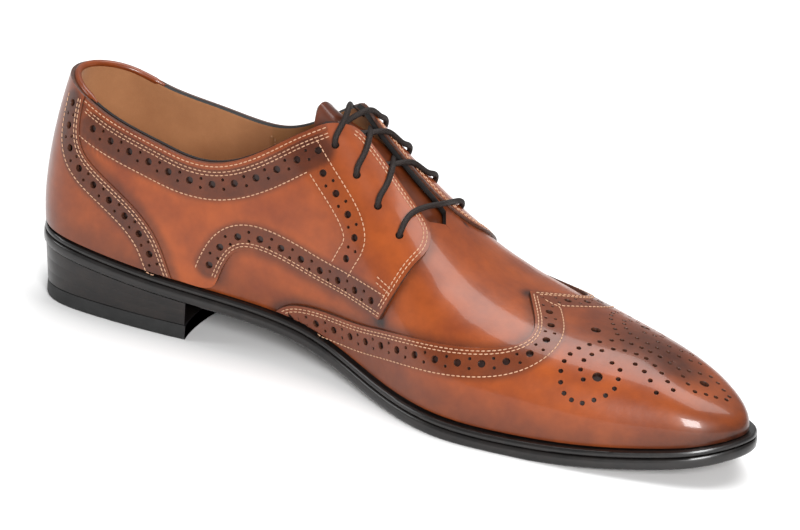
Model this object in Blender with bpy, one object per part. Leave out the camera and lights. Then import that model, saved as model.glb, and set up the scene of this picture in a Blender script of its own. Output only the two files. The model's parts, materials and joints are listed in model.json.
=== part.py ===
"""A left full brogue derby shoe, in metres, with +X to the toe, +Y to the lateral side and +Z up.

Every piece of the upper is read from one last surface. A place on it is (w, t): |w| runs from the
heel centre at 0 to the toe centre at 1, with w below 0 on the medial side, and t runs from the
feather line at 0, up the section, to the ridge at 1. The origin is the centre of the footprint.
"""

import math

import bmesh
import bpy
import numpy as np
from mathutils import Matrix, Vector

# The sizes of the last
LENGTH = 0.305
BALL_WIDTH = 0.1035
HEEL_RISE = 0.0240
TOE_SPRING = 0.0125
INSTEP_RISE = 0.0863
COLLAR_RISE = 0.0610

# The sizes of the bottom
WELT_WIDTH = 0.0040
WELT_THICK = 0.0022
WELT_DEPTH = 0.0105
OUTSOLE_THICK = 0.0042
TREAD_FLAT = 0.0003
HEEL_LENGTH = 0.0755
HEEL_TUCK = 0.0010
HEEL_TAPER = 0.0016
BREAST_CURVE = 0.0045
TOP_PIECE_THICK = 0.0060
INSOLE_THICK = 0.0024

# The sizes of the upper
WALL = 0.0020
WALL_SET = 0.0010
PANEL_THICK = 0.0012
TONGUE_THICK = 0.0020
LACE_RADIUS = 0.00115
EYELET_RADIUS = 0.0015

# The room between neighbours
GAP = 0.0003
CURVED_GAP = 0.0006
TONGUE_GAP = 0.0008

# One row per station: place a, then x over the length, and each side's y over the ball width
OUTLINE = (
    # a, x, lateral, medial
    (0.000, 0.000, 0.000, 0.000),
    (0.060, 0.026, 0.208, 0.198),
    (0.140, 0.105, 0.300, 0.275),
    (0.240, 0.210, 0.350, 0.275),
    (0.340, 0.311, 0.395, 0.242),
    (0.440, 0.416, 0.464, 0.222),
    (0.540, 0.518, 0.536, 0.328),
    (0.640, 0.623, 0.546, 0.454),
    (0.740, 0.728, 0.488, 0.449),
    (0.830, 0.823, 0.382, 0.401),
    (0.910, 0.908, 0.246, 0.329),
    (0.965, 0.972, 0.072, 0.237),
    (1.000, 1.000, -0.097, 0.097),
)

# The height of the feather line: x over the length, then shares of the heel's rise and the toe spring
SEAT = (
    # x, heel, toe
    (0.000, 1.000, 0.000),
    (0.026, 0.965, 0.000),
    (0.105, 0.850, 0.000),
    (0.210, 0.725, 0.000),
    (0.311, 0.620, 0.000),
    (0.416, 0.405, 0.000),
    (0.518, 0.130, 0.000),
    (0.623, 0.020, 0.000),
    (0.728, 0.000, 0.000),
    (0.823, 0.000, 0.140),
    (0.908, 0.000, 0.420),
    (0.972, 0.000, 0.780),
    (1.000, 0.000, 1.000),
)

# One row per station of the section's curve. The welt is a share of its width, x of the length, the
# ridge's y and the outward handles of the ball width, and the heights of the instep's rise
SECTIONS = (
    # a, welt, ridge x, ridge y, ridge rise, low out, low up, high out, high drop
    (0.000, 0.375, 0.111, 0.000, 1.290, 0.052, 0.394, 0.193, 0.093),
    (0.060, 0.375, 0.118, 0.000, 1.300, 0.045, 0.394, 0.160, 0.093),
    (0.140, 0.375, 0.138, 0.000, 1.320, 0.032, 0.394, 0.150, 0.070),
    (0.240, 0.400, 0.216, 0.000, 1.322, 0.046, 0.394, 0.188, 0.035),
    (0.340, 0.500, 0.311, 0.000, 1.211, 0.046, 0.394, 0.193, 0.000),
    (0.440, 0.625, 0.416, 0.000, 1.000, 0.051, 0.371, 0.222, 0.000),
    (0.540, 0.750, 0.518, 0.000, 0.752, 0.048, 0.348, 0.275, 0.000),
    (0.640, 0.875, 0.623, 0.000, 0.527, 0.042, 0.301, 0.343, 0.000),
    (0.740, 1.000, 0.721, -0.010, 0.430, 0.025, 0.255, 0.353, 0.000),
    (0.830, 1.000, 0.800, -0.024, 0.374, 0.025, 0.200, 0.295, 0.006),
    (0.910, 1.000, 0.852, -0.039, 0.312, 0.018, 0.162, 0.227, 0.026),
    (0.965, 1.000, 0.872, -0.048, 0.243, 0.014, 0.133, 0.206, 0.060),
    (1.000, 1.000, 0.878, -0.052, 0.205, 0.010, 0.116, 0.193, 0.074),
)

# The collar's height along each side above the back of the feather line, over its rise there
COLLAR = (
    # a, rise
    (0.000, 1.000),
    (0.060, 0.965),
    (0.140, 0.850),
    (0.220, 0.768),
    (0.300, 0.730),
    (0.360, 0.868),
    (0.400, 1.015),
    (0.425, 1.090),
)

# The throat's edge in the wall, from the collar's front to the point where the vamp closes
THROAT = (
    # a, t
    (0.425, 0.760),
    (0.440, 0.825),
    (0.458, 0.880),
    (0.480, 0.905),
    (0.520, 0.905),
    (0.550, 0.895),
    (0.566, 0.915),
    (0.578, 1.000),
)

# The counter's front edge, from the feather line to the collar
COUNTER_EDGE = (
    # a, t
    (0.256, 0.012),
    (0.245, 0.080),
    (0.225, 0.155),
    (0.196, 0.205),
    (0.153, 0.250),
    (0.115, 0.292),
    (0.094, 0.360),
    (0.088, 0.430),
)

# The quarter's lower edge, from the counter over the arch to its front corner
ARCH_EDGE = {
    -1: ((0.264, 0.012), (0.300, 0.012), (0.318, 0.060), (0.330, 0.140), (0.355, 0.192),
         (0.398, 0.200), (0.437, 0.202), (0.485, 0.228), (0.545, 0.268)),
    1: ((0.264, 0.012), (0.292, 0.012), (0.308, 0.070), (0.338, 0.150), (0.370, 0.195),
        (0.403, 0.227), (0.440, 0.258), (0.500, 0.312), (0.577, 0.360)),
}

# The quarter's front edge, from that corner up round the facing to the top of the throat
FACING_EDGE = {
    -1: ((0.545, 0.268), (0.561, 0.430), (0.576, 0.650), (0.581, 0.757), (0.575, 0.847),
         (0.557, 0.893), (0.525, 0.908), (0.490, 0.914), (0.468, 0.905), (0.453, 0.873)),
    1: ((0.577, 0.360), (0.593, 0.553), (0.595, 0.707), (0.587, 0.800), (0.568, 0.857),
        (0.545, 0.890), (0.515, 0.908), (0.490, 0.914), (0.468, 0.905), (0.453, 0.873)),
}

# The wing cap's edge, from its tail at the feather line up to the peak on the ridge
WING_EDGE = {
    -1: ((0.393, 0.012), (0.408, 0.055), (0.455, 0.110), (0.500, 0.158), (0.545, 0.228),
         (0.628, 0.375), (0.698, 0.515), (0.730, 0.635), (0.735, 0.770), (0.716, 0.900), (0.694, 1.000)),
    1: ((0.393, 0.012), (0.412, 0.095), (0.450, 0.160), (0.500, 0.232), (0.570, 0.340),
        (0.635, 0.440), (0.687, 0.525), (0.725, 0.625), (0.740, 0.770), (0.720, 0.900), (0.694, 1.000)),
}

# The eyelets, from the collar down
EYELETS = {
    -1: ((0.443, 0.713), (0.477, 0.703), (0.512, 0.692), (0.547, 0.686)),
    1: ((0.455, 0.740), (0.489, 0.740), (0.525, 0.730), (0.560, 0.718)),
}

# The tongue, from its rounded top down to its seam under the vamp
TONGUE = (
    # a, t of its edges
    (0.407, 0.800),
    (0.411, 0.720),
    (0.422, 0.660),
    (0.445, 0.640),
    (0.480, 0.660),
    (0.520, 0.700),
    (0.560, 0.750),
    (0.595, 0.800),
)

# How far a panel's top stops short of the collar's edge, in t, and the counter's seam, in w
COLLAR_MARGIN = 0.012
COUNTER_SEAM = 0.008

# The stretches of stations, each with its last place and its number of steps
STATION_RUNS = ((0.100, 8), (0.200, 5), (0.425, 6), (0.578, 6), (0.860, 9), (1.000, 11))
SECTION_STEPS = 10

LEATHER = (0.36, 0.105, 0.028, 1.0)
DARK_LEATHER = (0.20, 0.055, 0.018, 1.0)
SOLE_BLACK = (0.012, 0.011, 0.011, 1.0)
LINING = (0.50, 0.30, 0.14, 1.0)
LACE_BROWN = (0.050, 0.022, 0.014, 1.0)


def smoothstep(value, start, end):
    """Returns the smooth share of the way from start to end."""
    share = np.clip((value - start) / (end - start), 0.0, 1.0)
    return share * share * (3.0 - 2.0 * share)


def cubic_spline(knots, values, closed=False):
    """Returns the cubic spline through the values. A closed one repeats, and an open one ends straight."""
    knots = np.asarray(knots, float)
    values = np.asarray(values, float).reshape(len(knots), -1)
    steps = np.diff(knots)
    slopes = np.diff(values, axis=0) / steps[:, None]
    count = len(knots) - 1 if closed else len(knots)
    matrix = np.eye(count)
    bends = np.zeros((count, values.shape[1]))
    for i in range(0 if closed else 1, count if closed else count - 1):
        matrix[i, i] = 2.0 * (steps[i - 1] + steps[i])
        matrix[i, (i - 1) % count] += steps[i - 1]
        matrix[i, (i + 1) % count] += steps[i]
        bends[i] = 6.0 * (slopes[i] - slopes[i - 1])
    curvature = np.linalg.solve(matrix, bends)
    if closed:
        curvature = np.concatenate([curvature, curvature[:1]])

    def value_at(place):
        place = np.asarray(place, float)
        i = np.clip(np.searchsorted(knots, place, side="right") - 1, 0, len(steps) - 1)
        step = steps[i][..., None]
        after = (place[..., None] - knots[i][..., None]) / step
        before = 1.0 - after
        bend = (before**3 - before) * curvature[i] + (after**3 - after) * curvature[i + 1]
        return before * values[i] + after * values[i + 1] + bend * step**2 / 6.0

    return value_at


def even_spline(rows):
    """Returns a spline over w that is the same on both sides and level at the heel and toe centres."""
    rows = np.asarray(rows, float)
    return cubic_spline(
        np.concatenate([-rows[::-1, 0], rows[1:, 0]]),
        np.concatenate([rows[::-1, 1:], rows[1:, 1:]]),
        closed=True,
    )


def outline_spline():
    """Returns the sole's outline over w, with the footprint's centre at y 0."""
    rows = np.asarray(OUTLINE)
    x = (rows[:, 1] - 0.5) * LENGTH
    lateral = rows[:, 2] * BALL_WIDTH
    medial = -rows[:, 3] * BALL_WIDTH
    places = np.concatenate([-rows[::-1, 0], rows[1:, 0]])
    points = np.concatenate(
        [np.stack([x, medial], -1)[::-1], np.stack([x, lateral], -1)[1:]]
    )
    rough = cubic_spline(places, points, closed=True)(np.linspace(-1.0, 1.0, 801))
    centre = (rough.min(axis=0) + rough.max(axis=0)) / 2.0
    return cubic_spline(places, points - centre, closed=True), centre


OUTLINE_AT, CENTRE = outline_spline()
SECTION_AT = even_spline(SECTIONS)
COLLAR_AT = cubic_spline(
    [-row[0] for row in COLLAR[:0:-1]] + [row[0] for row in COLLAR],
    [row[1] for row in COLLAR[:0:-1]] + [row[1] for row in COLLAR],
)
SEAT_AT = cubic_spline([row[0] for row in SEAT], [row[1:] for row in SEAT])
STACK_HEIGHT = WELT_THICK + GAP + OUTSOLE_THICK


def wrapped(w):
    """Returns w brought back between -1 and 1, since both ends are the toe's centre."""
    return (np.asarray(w, float) + 1.0) % 2.0 - 1.0


def outline(w, inset=0.0):
    """Returns the points of the sole's outline moved inwards, and their outward normals."""
    step = 1e-4
    point = OUTLINE_AT(wrapped(w))
    along = OUTLINE_AT(wrapped(w + step)) - OUTLINE_AT(wrapped(w - step))
    along /= np.linalg.norm(along, axis=-1, keepdims=True)
    normal = np.stack([-along[..., 1], along[..., 0]], -1)
    return point - normal * np.asarray(inset)[..., None], normal


def seat_height(x):
    """Returns the height of the welt's top at x."""
    shares = SEAT_AT(np.clip((x + CENTRE[0]) / LENGTH + 0.5, 0.0, 1.0))
    rise = shares[..., 0] * HEEL_RISE + shares[..., 1] * TOE_SPRING
    return STACK_HEIGHT + rise


def last_point(w, t):
    """Returns the last surface's points, each section a cubic curve from the feather line to the ridge."""
    w, t = np.broadcast_arrays(np.asarray(w, float), np.asarray(t, float))
    w = wrapped(w)
    welt, ridge_x, ridge_y, rise, low_out, low_up, high_out, high_drop = np.moveaxis(
        SECTION_AT(w), -1, 0
    )
    foot, normal = outline(w, welt * WELT_WIDTH)
    foot = np.concatenate([foot, seat_height(foot[..., 0])[..., None]], -1)
    side = np.where(w >= 0.0, 1.0, -1.0)
    across = smoothstep(np.abs(w), 0.10, 0.30) * (1.0 - smoothstep(np.abs(w), 0.80, 1.0))
    out = normal * (1.0 - across)[..., None]
    out[..., 1] += side * across
    out /= np.linalg.norm(out, axis=-1, keepdims=True)
    out = np.concatenate([out, np.zeros_like(w)[..., None]], -1)
    up = np.array([0.0, 0.0, 1.0])
    ridge = np.stack(
        [
            (ridge_x - 0.5) * LENGTH - CENTRE[0],
            ridge_y * BALL_WIDTH - CENTRE[1],
            foot[..., 2] + rise * INSTEP_RISE,
        ],
        -1,
    )
    low = foot + out * (low_out * BALL_WIDTH)[..., None] + up * (low_up * INSTEP_RISE)[..., None]
    high = (
        ridge + out * (high_out * BALL_WIDTH)[..., None] - up * (high_drop * INSTEP_RISE)[..., None]
    )
    t = t[..., None]
    rest = 1.0 - t
    return rest**3 * foot + 3.0 * rest**2 * t * low + 3.0 * rest * t**2 * high + t**3 * ridge


def last_normal(w, t):
    """Returns the last surface's outward normals. Both sides share one along the ridge."""
    w, t = np.broadcast_arrays(np.asarray(w, float), np.asarray(t, float))
    step = 1e-3

    def one_side(w):
        side = np.where(w >= 0.0, 1.0, -1.0)
        inner = np.clip(np.abs(w), step, 1.0 - step) * side
        along = last_point(inner + step, t) - last_point(inner - step, t)
        upward = last_point(inner, np.minimum(t + step, 1.0)) - last_point(inner, np.maximum(t - step, 0.0))
        cross = np.cross(along, upward)
        return cross / np.linalg.norm(cross, axis=-1, keepdims=True)

    normal = one_side(w)
    centre = (t > 1.0 - 1e-6) | (np.abs(w) > 1.0 - 1e-6) | (np.abs(w) < 1e-6)
    shared = normal + one_side(-w - 1e-12)
    shared /= np.linalg.norm(shared, axis=-1, keepdims=True)
    return -np.where(centre[..., None], shared, normal)


def skin(w, t, out):
    """Returns points that lie out from the last surface by a distance."""
    return last_point(w, t) + last_normal(w, t) * np.asarray(out)[..., None]


def share_at_height(w, height):
    """Returns t where each section reaches a height."""
    shares = np.linspace(0.0, 1.0, 201)
    heights = last_point(np.asarray(w)[:, None], shares[None, :])[..., 2]
    return np.array([np.interp(h, line, shares) for h, line in zip(height, heights)])


def collar_share(w):
    """Returns t of the collar's edge at w."""
    return share_at_height(w, STACK_HEIGHT + HEEL_RISE + COLLAR_AT(w)[..., 0] * COLLAR_RISE)


def top_share(w):
    """Returns t of the wall's top: the collar, then the throat, then the closed ridge."""
    w = np.asarray(w)
    a = np.abs(w)
    throat = np.asarray(THROAT)
    top = np.interp(a, throat[:, 0], throat[:, 1])
    rear = a < throat[0, 0] - 1e-9
    top[rear] = collar_share(w[rear])
    return top


def stations():
    """Returns the places of the stations on one side."""
    places = [np.zeros(1)]
    for end, count in STATION_RUNS:
        places.append(np.linspace(places[-1][-1], end, count + 1)[1:])
    return np.concatenate(places)


def resample(rows, count):
    """Returns points spread evenly along a smooth line through the rows."""
    rows = np.asarray(rows, float)
    length = np.concatenate([[0.0], np.cumsum(np.linalg.norm(np.diff(rows, axis=0), axis=1))])
    line = cubic_spline(length / length[-1], rows)
    return line(np.linspace(0.0, 1.0, count + 1))


def coons_patch(bottom, top, left, right):
    """Returns the grid between four edge lines that meet at their ends."""
    u = np.linspace(0.0, 1.0, len(bottom))[:, None, None]
    v = np.linspace(0.0, 1.0, len(left))[None, :, None]
    corners = (
        (1 - u) * (1 - v) * bottom[0]
        + u * (1 - v) * bottom[-1]
        + (1 - u) * v * top[0]
        + u * v * top[-1]
    )
    along = (1 - v) * bottom[:, None] + v * top[:, None]
    across = (1 - u) * left[None] + u * right[None]
    return along + across - corners


def sheet_mesh(name, grids):
    """Returns a closed mesh between two skins, from grids that each hold outer and inner points."""
    outer, inner, faces = [], [], []
    index_at = {}
    for outer_grid, inner_grid in grids:
        rows, columns = outer_grid.shape[:2]
        index = np.empty((rows, columns), int)
        for i in range(rows):
            for j in range(columns):
                key = tuple(np.round(outer_grid[i, j], 7))
                if key not in index_at:
                    index_at[key] = len(outer)
                    outer.append(outer_grid[i, j])
                    inner.append(inner_grid[i, j])
                index[i, j] = index_at[key]
        for i in range(rows - 1):
            for j in range(columns - 1):
                corners = [index[i, j], index[i + 1, j], index[i + 1, j + 1], index[i, j + 1]]
                corners = [c for k, c in enumerate(corners) if c != corners[k - 1]]
                if len(set(corners)) > 2:
                    faces.append(corners)
    count = len(outer)
    edges = {(face[k - 1], face[k]) for face in faces for k in range(len(face))}
    rims = [(b, a, a + count, b + count) for a, b in edges if (b, a) not in edges]
    inside = [[corner + count for corner in reversed(face)] for face in faces]
    mesh = bpy.data.meshes.new(name)
    mesh.from_pydata([tuple(p) for p in outer + inner], [], faces + inside + rims)
    model = bmesh.new()
    model.from_mesh(mesh)
    bmesh.ops.recalc_face_normals(model, faces=model.faces)
    model.to_mesh(mesh)
    model.free()
    return mesh


def add_piece(mesh, color, roughness=0.4):
    """Adds a mesh to the scene as a named piece with a material of its own."""
    material = bpy.data.materials.new(mesh.name)
    material.use_nodes = True
    shader = material.node_tree.nodes["Principled BSDF"]
    shader.inputs["Base Color"].default_value = color
    shader.inputs["Roughness"].default_value = roughness
    mesh.materials.append(material)
    piece = bpy.data.objects.new(mesh.name, mesh)
    bpy.context.scene.collection.objects.link(piece)
    if piece.type == "MESH":
        mesh.shade_smooth()
        mesh.set_sharp_from_angle(angle=math.radians(40.0))
    return piece


def skin_grid(w, t, outer, inner):
    """Returns the outer and inner points over a grid of places."""
    return skin(w, t, np.full(w.shape, outer)), skin(w, t, np.full(w.shape, inner))


def add_panel(name, grids):
    """Adds an overlay that lies on the wall."""
    inner = CURVED_GAP - WALL_SET
    pairs = [skin_grid(grid[..., 0], grid[..., 1], inner + PANEL_THICK, inner) for grid in grids]
    return add_piece(sheet_mesh(name, pairs), LEATHER)


def build_upper():
    """Adds the lined wall, open at the collar, the throat and underneath."""
    a = stations()
    w = np.concatenate([-a[::-1], a[1:]])
    share = np.linspace(0.0, 1.0, SECTION_STEPS + 1)
    t = top_share(w)[:, None] * share[None, :]
    outer, inner = skin_grid(np.repeat(w[:, None], len(share), 1), t, -WALL_SET, -WALL_SET - WALL)
    for grid in (outer, inner):
        grid[:, 0, 2] = seat_height(grid[:, 0, 0]) + GAP
    upper = add_piece(sheet_mesh("upper", [(outer, inner)]), LEATHER)
    punch(upper, EYELETS[-1], -1)
    punch(upper, EYELETS[1], 1)
    return upper


def punch(piece, places, side):
    """Cuts the eyelets of one side through a piece, square to the last."""
    cutter = bmesh.new()
    depth = 4.0 * (WALL + PANEL_THICK)
    for a, t in places:
        centre = last_point(side * a, t)
        normal = last_normal(side * a, t)
        before = set(cutter.verts)
        bmesh.ops.create_cone(
            cutter,
            cap_ends=True,
            segments=8,
            radius1=EYELET_RADIUS,
            radius2=EYELET_RADIUS,
            depth=depth,
        )
        turn = Vector((0.0, 0.0, 1.0)).rotation_difference(Vector(normal)).to_matrix().to_4x4()
        new = [v for v in cutter.verts if v not in before]
        bmesh.ops.transform(cutter, matrix=Matrix.Translation(centre) @ turn, verts=new)
    mesh = bpy.data.meshes.new(f"{piece.name}_holes_{side}")
    cutter.to_mesh(mesh)
    cutter.free()
    holes = bpy.data.objects.new(mesh.name, mesh)
    holes.hide_render = True
    holes.display_type = "WIRE"
    bpy.context.scene.collection.objects.link(holes)
    cut = piece.modifiers.new("Eyelets", "BOOLEAN")
    cut.operation = "DIFFERENCE"
    cut.solver = "EXACT"
    cut.object = holes


def build_quarter(name, side):
    """Adds one quarter, from the counter over the arch to the facing, with its eyelets."""
    columns, rows = 16, 10
    bottom = resample(ARCH_EDGE[side], columns)
    right = resample(FACING_EDGE[side], rows)
    rear = np.asarray(COUNTER_EDGE) + np.array([COUNTER_SEAM, 0.0])
    rear[0, 1] = bottom[0, 1]
    crest = np.linspace(rear[-1, 0], THROAT[0][0], 12)
    edge = collar_share(side * crest) - COLLAR_MARGIN
    top_line = np.concatenate([np.stack([crest, edge], -1), right[-1:]])
    rear[-1] = top_line[0]
    left = resample(rear, rows)
    top = resample(top_line, columns)
    grid = coons_patch(bottom, top, left, right)
    grid[..., 0] *= side
    quarter = add_panel(name, [grid])
    punch(quarter, EYELETS[side], side)
    return quarter


def build_counter():
    """Adds the counter that wraps the heel."""
    columns, rows = 24, 8
    edge = np.array(COUNTER_EDGE)
    edge[-1, 1] = collar_share(edge[-1:, 0])[0] - COLLAR_MARGIN
    right = resample(edge, rows)
    left = right * [-1.0, 1.0]
    even = np.linspace(-1.0, 1.0, columns + 1)
    share = np.sign(even) * np.abs(even) ** 1.2
    low = edge[0, 0] * share
    bottom = np.stack([low, np.full_like(low, edge[0, 1])], -1)
    high = edge[-1, 0] * share
    top = np.stack([high, collar_share(high) - COLLAR_MARGIN], -1)
    return add_panel("heel_counter", [coons_patch(bottom, top, left, right)])


def build_wing_cap():
    """Adds the winged toe cap as two halves that share the ridge and the toe's centre."""
    columns, rows = 23, 10
    grids = []
    even = np.linspace(0.0, 1.0, columns + 1)
    share = even + 0.40 * (np.sin(even * math.pi / 2.0) - even)
    for side in (-1, 1):
        left = resample(WING_EDGE[side], rows)
        low = left[0, 0] + (1.0 - left[0, 0]) * share
        bottom = np.stack([low, np.full_like(low, left[0, 1])], -1)
        high = left[-1, 0] + (1.0 - left[-1, 0]) * share
        top = np.stack([high, np.ones_like(high)], -1)
        rise = np.linspace(left[0, 1], 1.0, rows + 1)
        right = np.stack([np.ones_like(rise), rise], -1)
        grid = coons_patch(bottom, top, left, right)
        grid[..., 0] *= side
        grids.append(grid if side < 0 else grid[:, ::-1])
    return add_panel("wing_cap", grids)


def build_tongue():
    """Adds the tongue, under the facings and over the ridge, seamed under the vamp."""
    line = resample(TONGUE, 12)
    spread = np.linspace(-1.0, 1.0, 9)
    side = np.where(spread < 0.0, -1.0, 1.0)
    w = line[:, :1] * side[None, :]
    t = 1.0 - np.abs(spread)[None, :] * (1.0 - line[:, 1:])
    outer = -WALL_SET - WALL - TONGUE_GAP
    return add_piece(sheet_mesh("tongue", [skin_grid(w, t, outer, outer - TONGUE_THICK)]), LEATHER)


def plate_grid(a, inset, height, columns=2):
    """Returns one face of a plate: rows from the medial to the lateral edge at each place."""
    medial = outline(-a, inset)[0]
    lateral = outline(a, inset)[0]
    share = np.linspace(0.0, 1.0, columns + 1)[None, :, None]
    plan = medial[:, None] * (1.0 - share) + lateral[:, None] * share
    return np.concatenate([plan, height(plan[..., 0])[..., None]], -1)


def tread_height(x):
    """Returns the height of the outsole's bottom, with one flat spot under the ball."""
    return np.maximum(seat_height(x) - STACK_HEIGHT - TREAD_FLAT, 0.0)


def build_outsole():
    """Adds the outsole, with the arch, the ball's flat spot and the toe spring."""
    a = stations()
    top = plate_grid(a, 0.0, lambda x: seat_height(x) - WELT_THICK - GAP)
    bottom = plate_grid(a, 0.0, tread_height)
    return add_piece(sheet_mesh("outsole", [(top, bottom)]), SOLE_BLACK)


def build_welt():
    """Adds the welt as one ring round the feather line."""
    a = stations()
    w = np.concatenate([-a[::-1], a[1:]])
    rings = []
    for drop in (0.0, WELT_THICK):
        loops = []
        for inset in (GAP, WELT_DEPTH):
            plan = outline(w, inset)[0]
            loops.append(np.concatenate([plan, seat_height(plan[:, :1]) - drop], -1))
        rings.append(np.stack(loops, 1))
    return add_piece(sheet_mesh("welt", [tuple(rings)]), SOLE_BLACK)


def heel_grid(inset, height):
    """Returns one face of the heel, with its concave breast."""
    rows = np.asarray(OUTLINE)
    end = np.interp(HEEL_LENGTH / LENGTH, rows[:, 1], rows[:, 0])
    a = end * np.sin(np.linspace(0.0, math.pi / 2.0, 13)) ** 1.4
    columns = 6
    grid = plate_grid(a, inset, np.zeros_like, columns)
    share = np.linspace(0.0, 1.0, columns + 1)
    front = ((a / end) ** 6)[:, None] * (4.0 * share * (1.0 - share))[None, :]
    grid[..., 0] -= BREAST_CURVE * front
    grid[..., 2] = height(grid[..., 0])
    return grid


def build_heel():
    """Adds the heel's stacked block and its top piece, which stands on the floor."""
    seam = TOP_PIECE_THICK + GAP
    top = heel_grid(HEEL_TUCK, lambda x: tread_height(x) - GAP)
    waist = heel_grid(HEEL_TUCK + HEEL_TAPER, lambda x: np.full_like(x, seam))
    add_piece(sheet_mesh("heel_stack", [(top, waist)]), SOLE_BLACK)
    lift = heel_grid(HEEL_TUCK + HEEL_TAPER, lambda x: np.full_like(x, TOP_PIECE_THICK))
    floor = heel_grid(HEEL_TUCK + HEEL_TAPER, np.zeros_like)
    add_piece(sheet_mesh("heel_top_piece", [(lift, floor)]), SOLE_BLACK, 0.6)


def build_insole():
    """Adds the insole on the welt's inner margin, clear of the wall."""
    a = stations()
    welt = SECTION_AT(a)[..., 0] * WELT_WIDTH
    inset = welt + WALL_SET + WALL + CURVED_GAP + 0.5 * GAP
    bottom = plate_grid(a, inset, lambda x: seat_height(x) + GAP)
    top = plate_grid(a, inset, lambda x: seat_height(x) + GAP + INSOLE_THICK)
    return add_piece(sheet_mesh("insole", [(top, bottom)]), LINING, 0.7)


def build_laces():
    """Adds the four lace rows, each a bar over the facings from eyelet to eyelet."""
    out = CURVED_GAP - WALL_SET + PANEL_THICK + GAP + LACE_RADIUS
    for row, (medial, lateral) in enumerate(zip(EYELETS[-1], EYELETS[1]), 1):
        share = np.linspace(0.0, 1.0, 15)
        a = medial[0] + (lateral[0] - medial[0]) * share
        reach = np.interp(share, (0.0, 0.5, 1.0), (medial[1], 1.0, lateral[1]))
        side = np.where(share < 0.5, -1.0, 1.0)
        points = skin(side * a, reach, np.full(share.shape, out))
        curve = bpy.data.curves.new(f"lace_row_{row}", "CURVE")
        curve.dimensions = "3D"
        curve.bevel_depth = LACE_RADIUS
        curve.bevel_resolution = 2
        curve.use_fill_caps = True
        line = curve.splines.new("POLY")
        line.points.add(len(points) - 1)
        for point, place in zip(line.points, points):
            point.co = (*place, 1.0)
        add_piece(curve, LACE_BROWN, 0.6)


def main():
    """Clears the scene and builds every piece of the shoe."""
    for item in list(bpy.data.objects):
        bpy.data.objects.remove(item, do_unlink=True)
    build_outsole()
    build_welt()
    build_heel()
    build_insole()
    build_upper()
    build_tongue()
    build_quarter("quarter_medial", -1)
    build_quarter("quarter_lateral", 1)
    build_counter()
    build_wing_cap()
    build_laces()


if __name__ == "__main__":
    main()
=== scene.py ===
"""Dresses the left full brogue derby shoe in burnished leather, with its brogueing, seams and lace.

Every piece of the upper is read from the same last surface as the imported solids. A place on it is
(w, t): |w| runs from the heel centre at 0 to the toe centre at 1, with w below 0 on the medial side,
and t runs from the feather line at 0, up the section, to the ridge at 1. All lengths are in metres.
"""

import contextlib
import json
import logging
import math
from collections.abc import Callable, Iterator, Sequence
from dataclasses import dataclass, field
from enum import Enum

import bpy
import numpy as np
from mathutils import Matrix, Vector
from mathutils.geometry import delaunay_2d_cdt
from mathutils.kdtree import KDTree

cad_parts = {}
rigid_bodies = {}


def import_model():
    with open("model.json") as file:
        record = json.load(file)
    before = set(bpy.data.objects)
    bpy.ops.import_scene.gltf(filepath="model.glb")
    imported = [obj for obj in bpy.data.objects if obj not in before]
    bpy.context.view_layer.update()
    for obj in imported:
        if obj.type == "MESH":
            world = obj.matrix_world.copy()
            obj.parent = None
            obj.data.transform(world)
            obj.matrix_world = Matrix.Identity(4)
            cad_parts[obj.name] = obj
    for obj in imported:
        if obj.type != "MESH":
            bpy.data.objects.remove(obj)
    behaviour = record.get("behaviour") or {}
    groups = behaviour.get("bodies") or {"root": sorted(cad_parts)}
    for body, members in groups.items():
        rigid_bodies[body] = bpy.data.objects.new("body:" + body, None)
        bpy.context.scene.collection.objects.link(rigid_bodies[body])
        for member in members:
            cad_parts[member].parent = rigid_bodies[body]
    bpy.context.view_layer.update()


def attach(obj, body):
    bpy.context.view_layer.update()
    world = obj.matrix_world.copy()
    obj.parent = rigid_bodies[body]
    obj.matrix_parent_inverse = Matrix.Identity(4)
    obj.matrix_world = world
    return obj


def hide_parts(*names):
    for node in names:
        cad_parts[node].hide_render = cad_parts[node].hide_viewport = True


MM = 0.001
BODY = "root"

Colour = tuple[float, float, float]
Place = tuple[float, float]

# The sizes of the last
LENGTH = 0.305
BALL_WIDTH = 0.1035
HEEL_RISE = 0.0240
TOE_SPRING = 0.0125
INSTEP_RISE = 0.0863
COLLAR_RISE = 0.0610

# The sizes of the bottom
WELT_WIDTH = 0.0040
WELT_THICK = 0.0022
OUTSOLE_THICK = 0.0042
TREAD_FLAT = 0.0003
HEEL_LENGTH = 0.0755
HEEL_TUCK = 0.0010
HEEL_TAPER = 0.0016
BREAST_CURVE = 0.0045
TOP_PIECE_THICK = 0.0060
INSOLE_THICK = 0.0024
GAP = 0.0003
STACK_HEIGHT = WELT_THICK + GAP + OUTSOLE_THICK

# The sizes of the upper
WALL = 0.0020
WALL_SET = 0.0010
LACE_RADIUS = 0.00115
EYELET_RADIUS = 0.00145

# One row per station: place a, then x over the length, and each side's y over the ball width
OUTLINE = (
    (0.000, 0.000, 0.000, 0.000),
    (0.060, 0.026, 0.208, 0.198),
    (0.140, 0.105, 0.300, 0.275),
    (0.240, 0.210, 0.350, 0.275),
    (0.340, 0.311, 0.395, 0.242),
    (0.440, 0.416, 0.464, 0.222),
    (0.540, 0.518, 0.536, 0.328),
    (0.640, 0.623, 0.546, 0.454),
    (0.740, 0.728, 0.488, 0.449),
    (0.830, 0.823, 0.382, 0.401),
    (0.910, 0.908, 0.246, 0.329),
    (0.965, 0.972, 0.072, 0.237),
    (1.000, 1.000, -0.097, 0.097),
)

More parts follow.
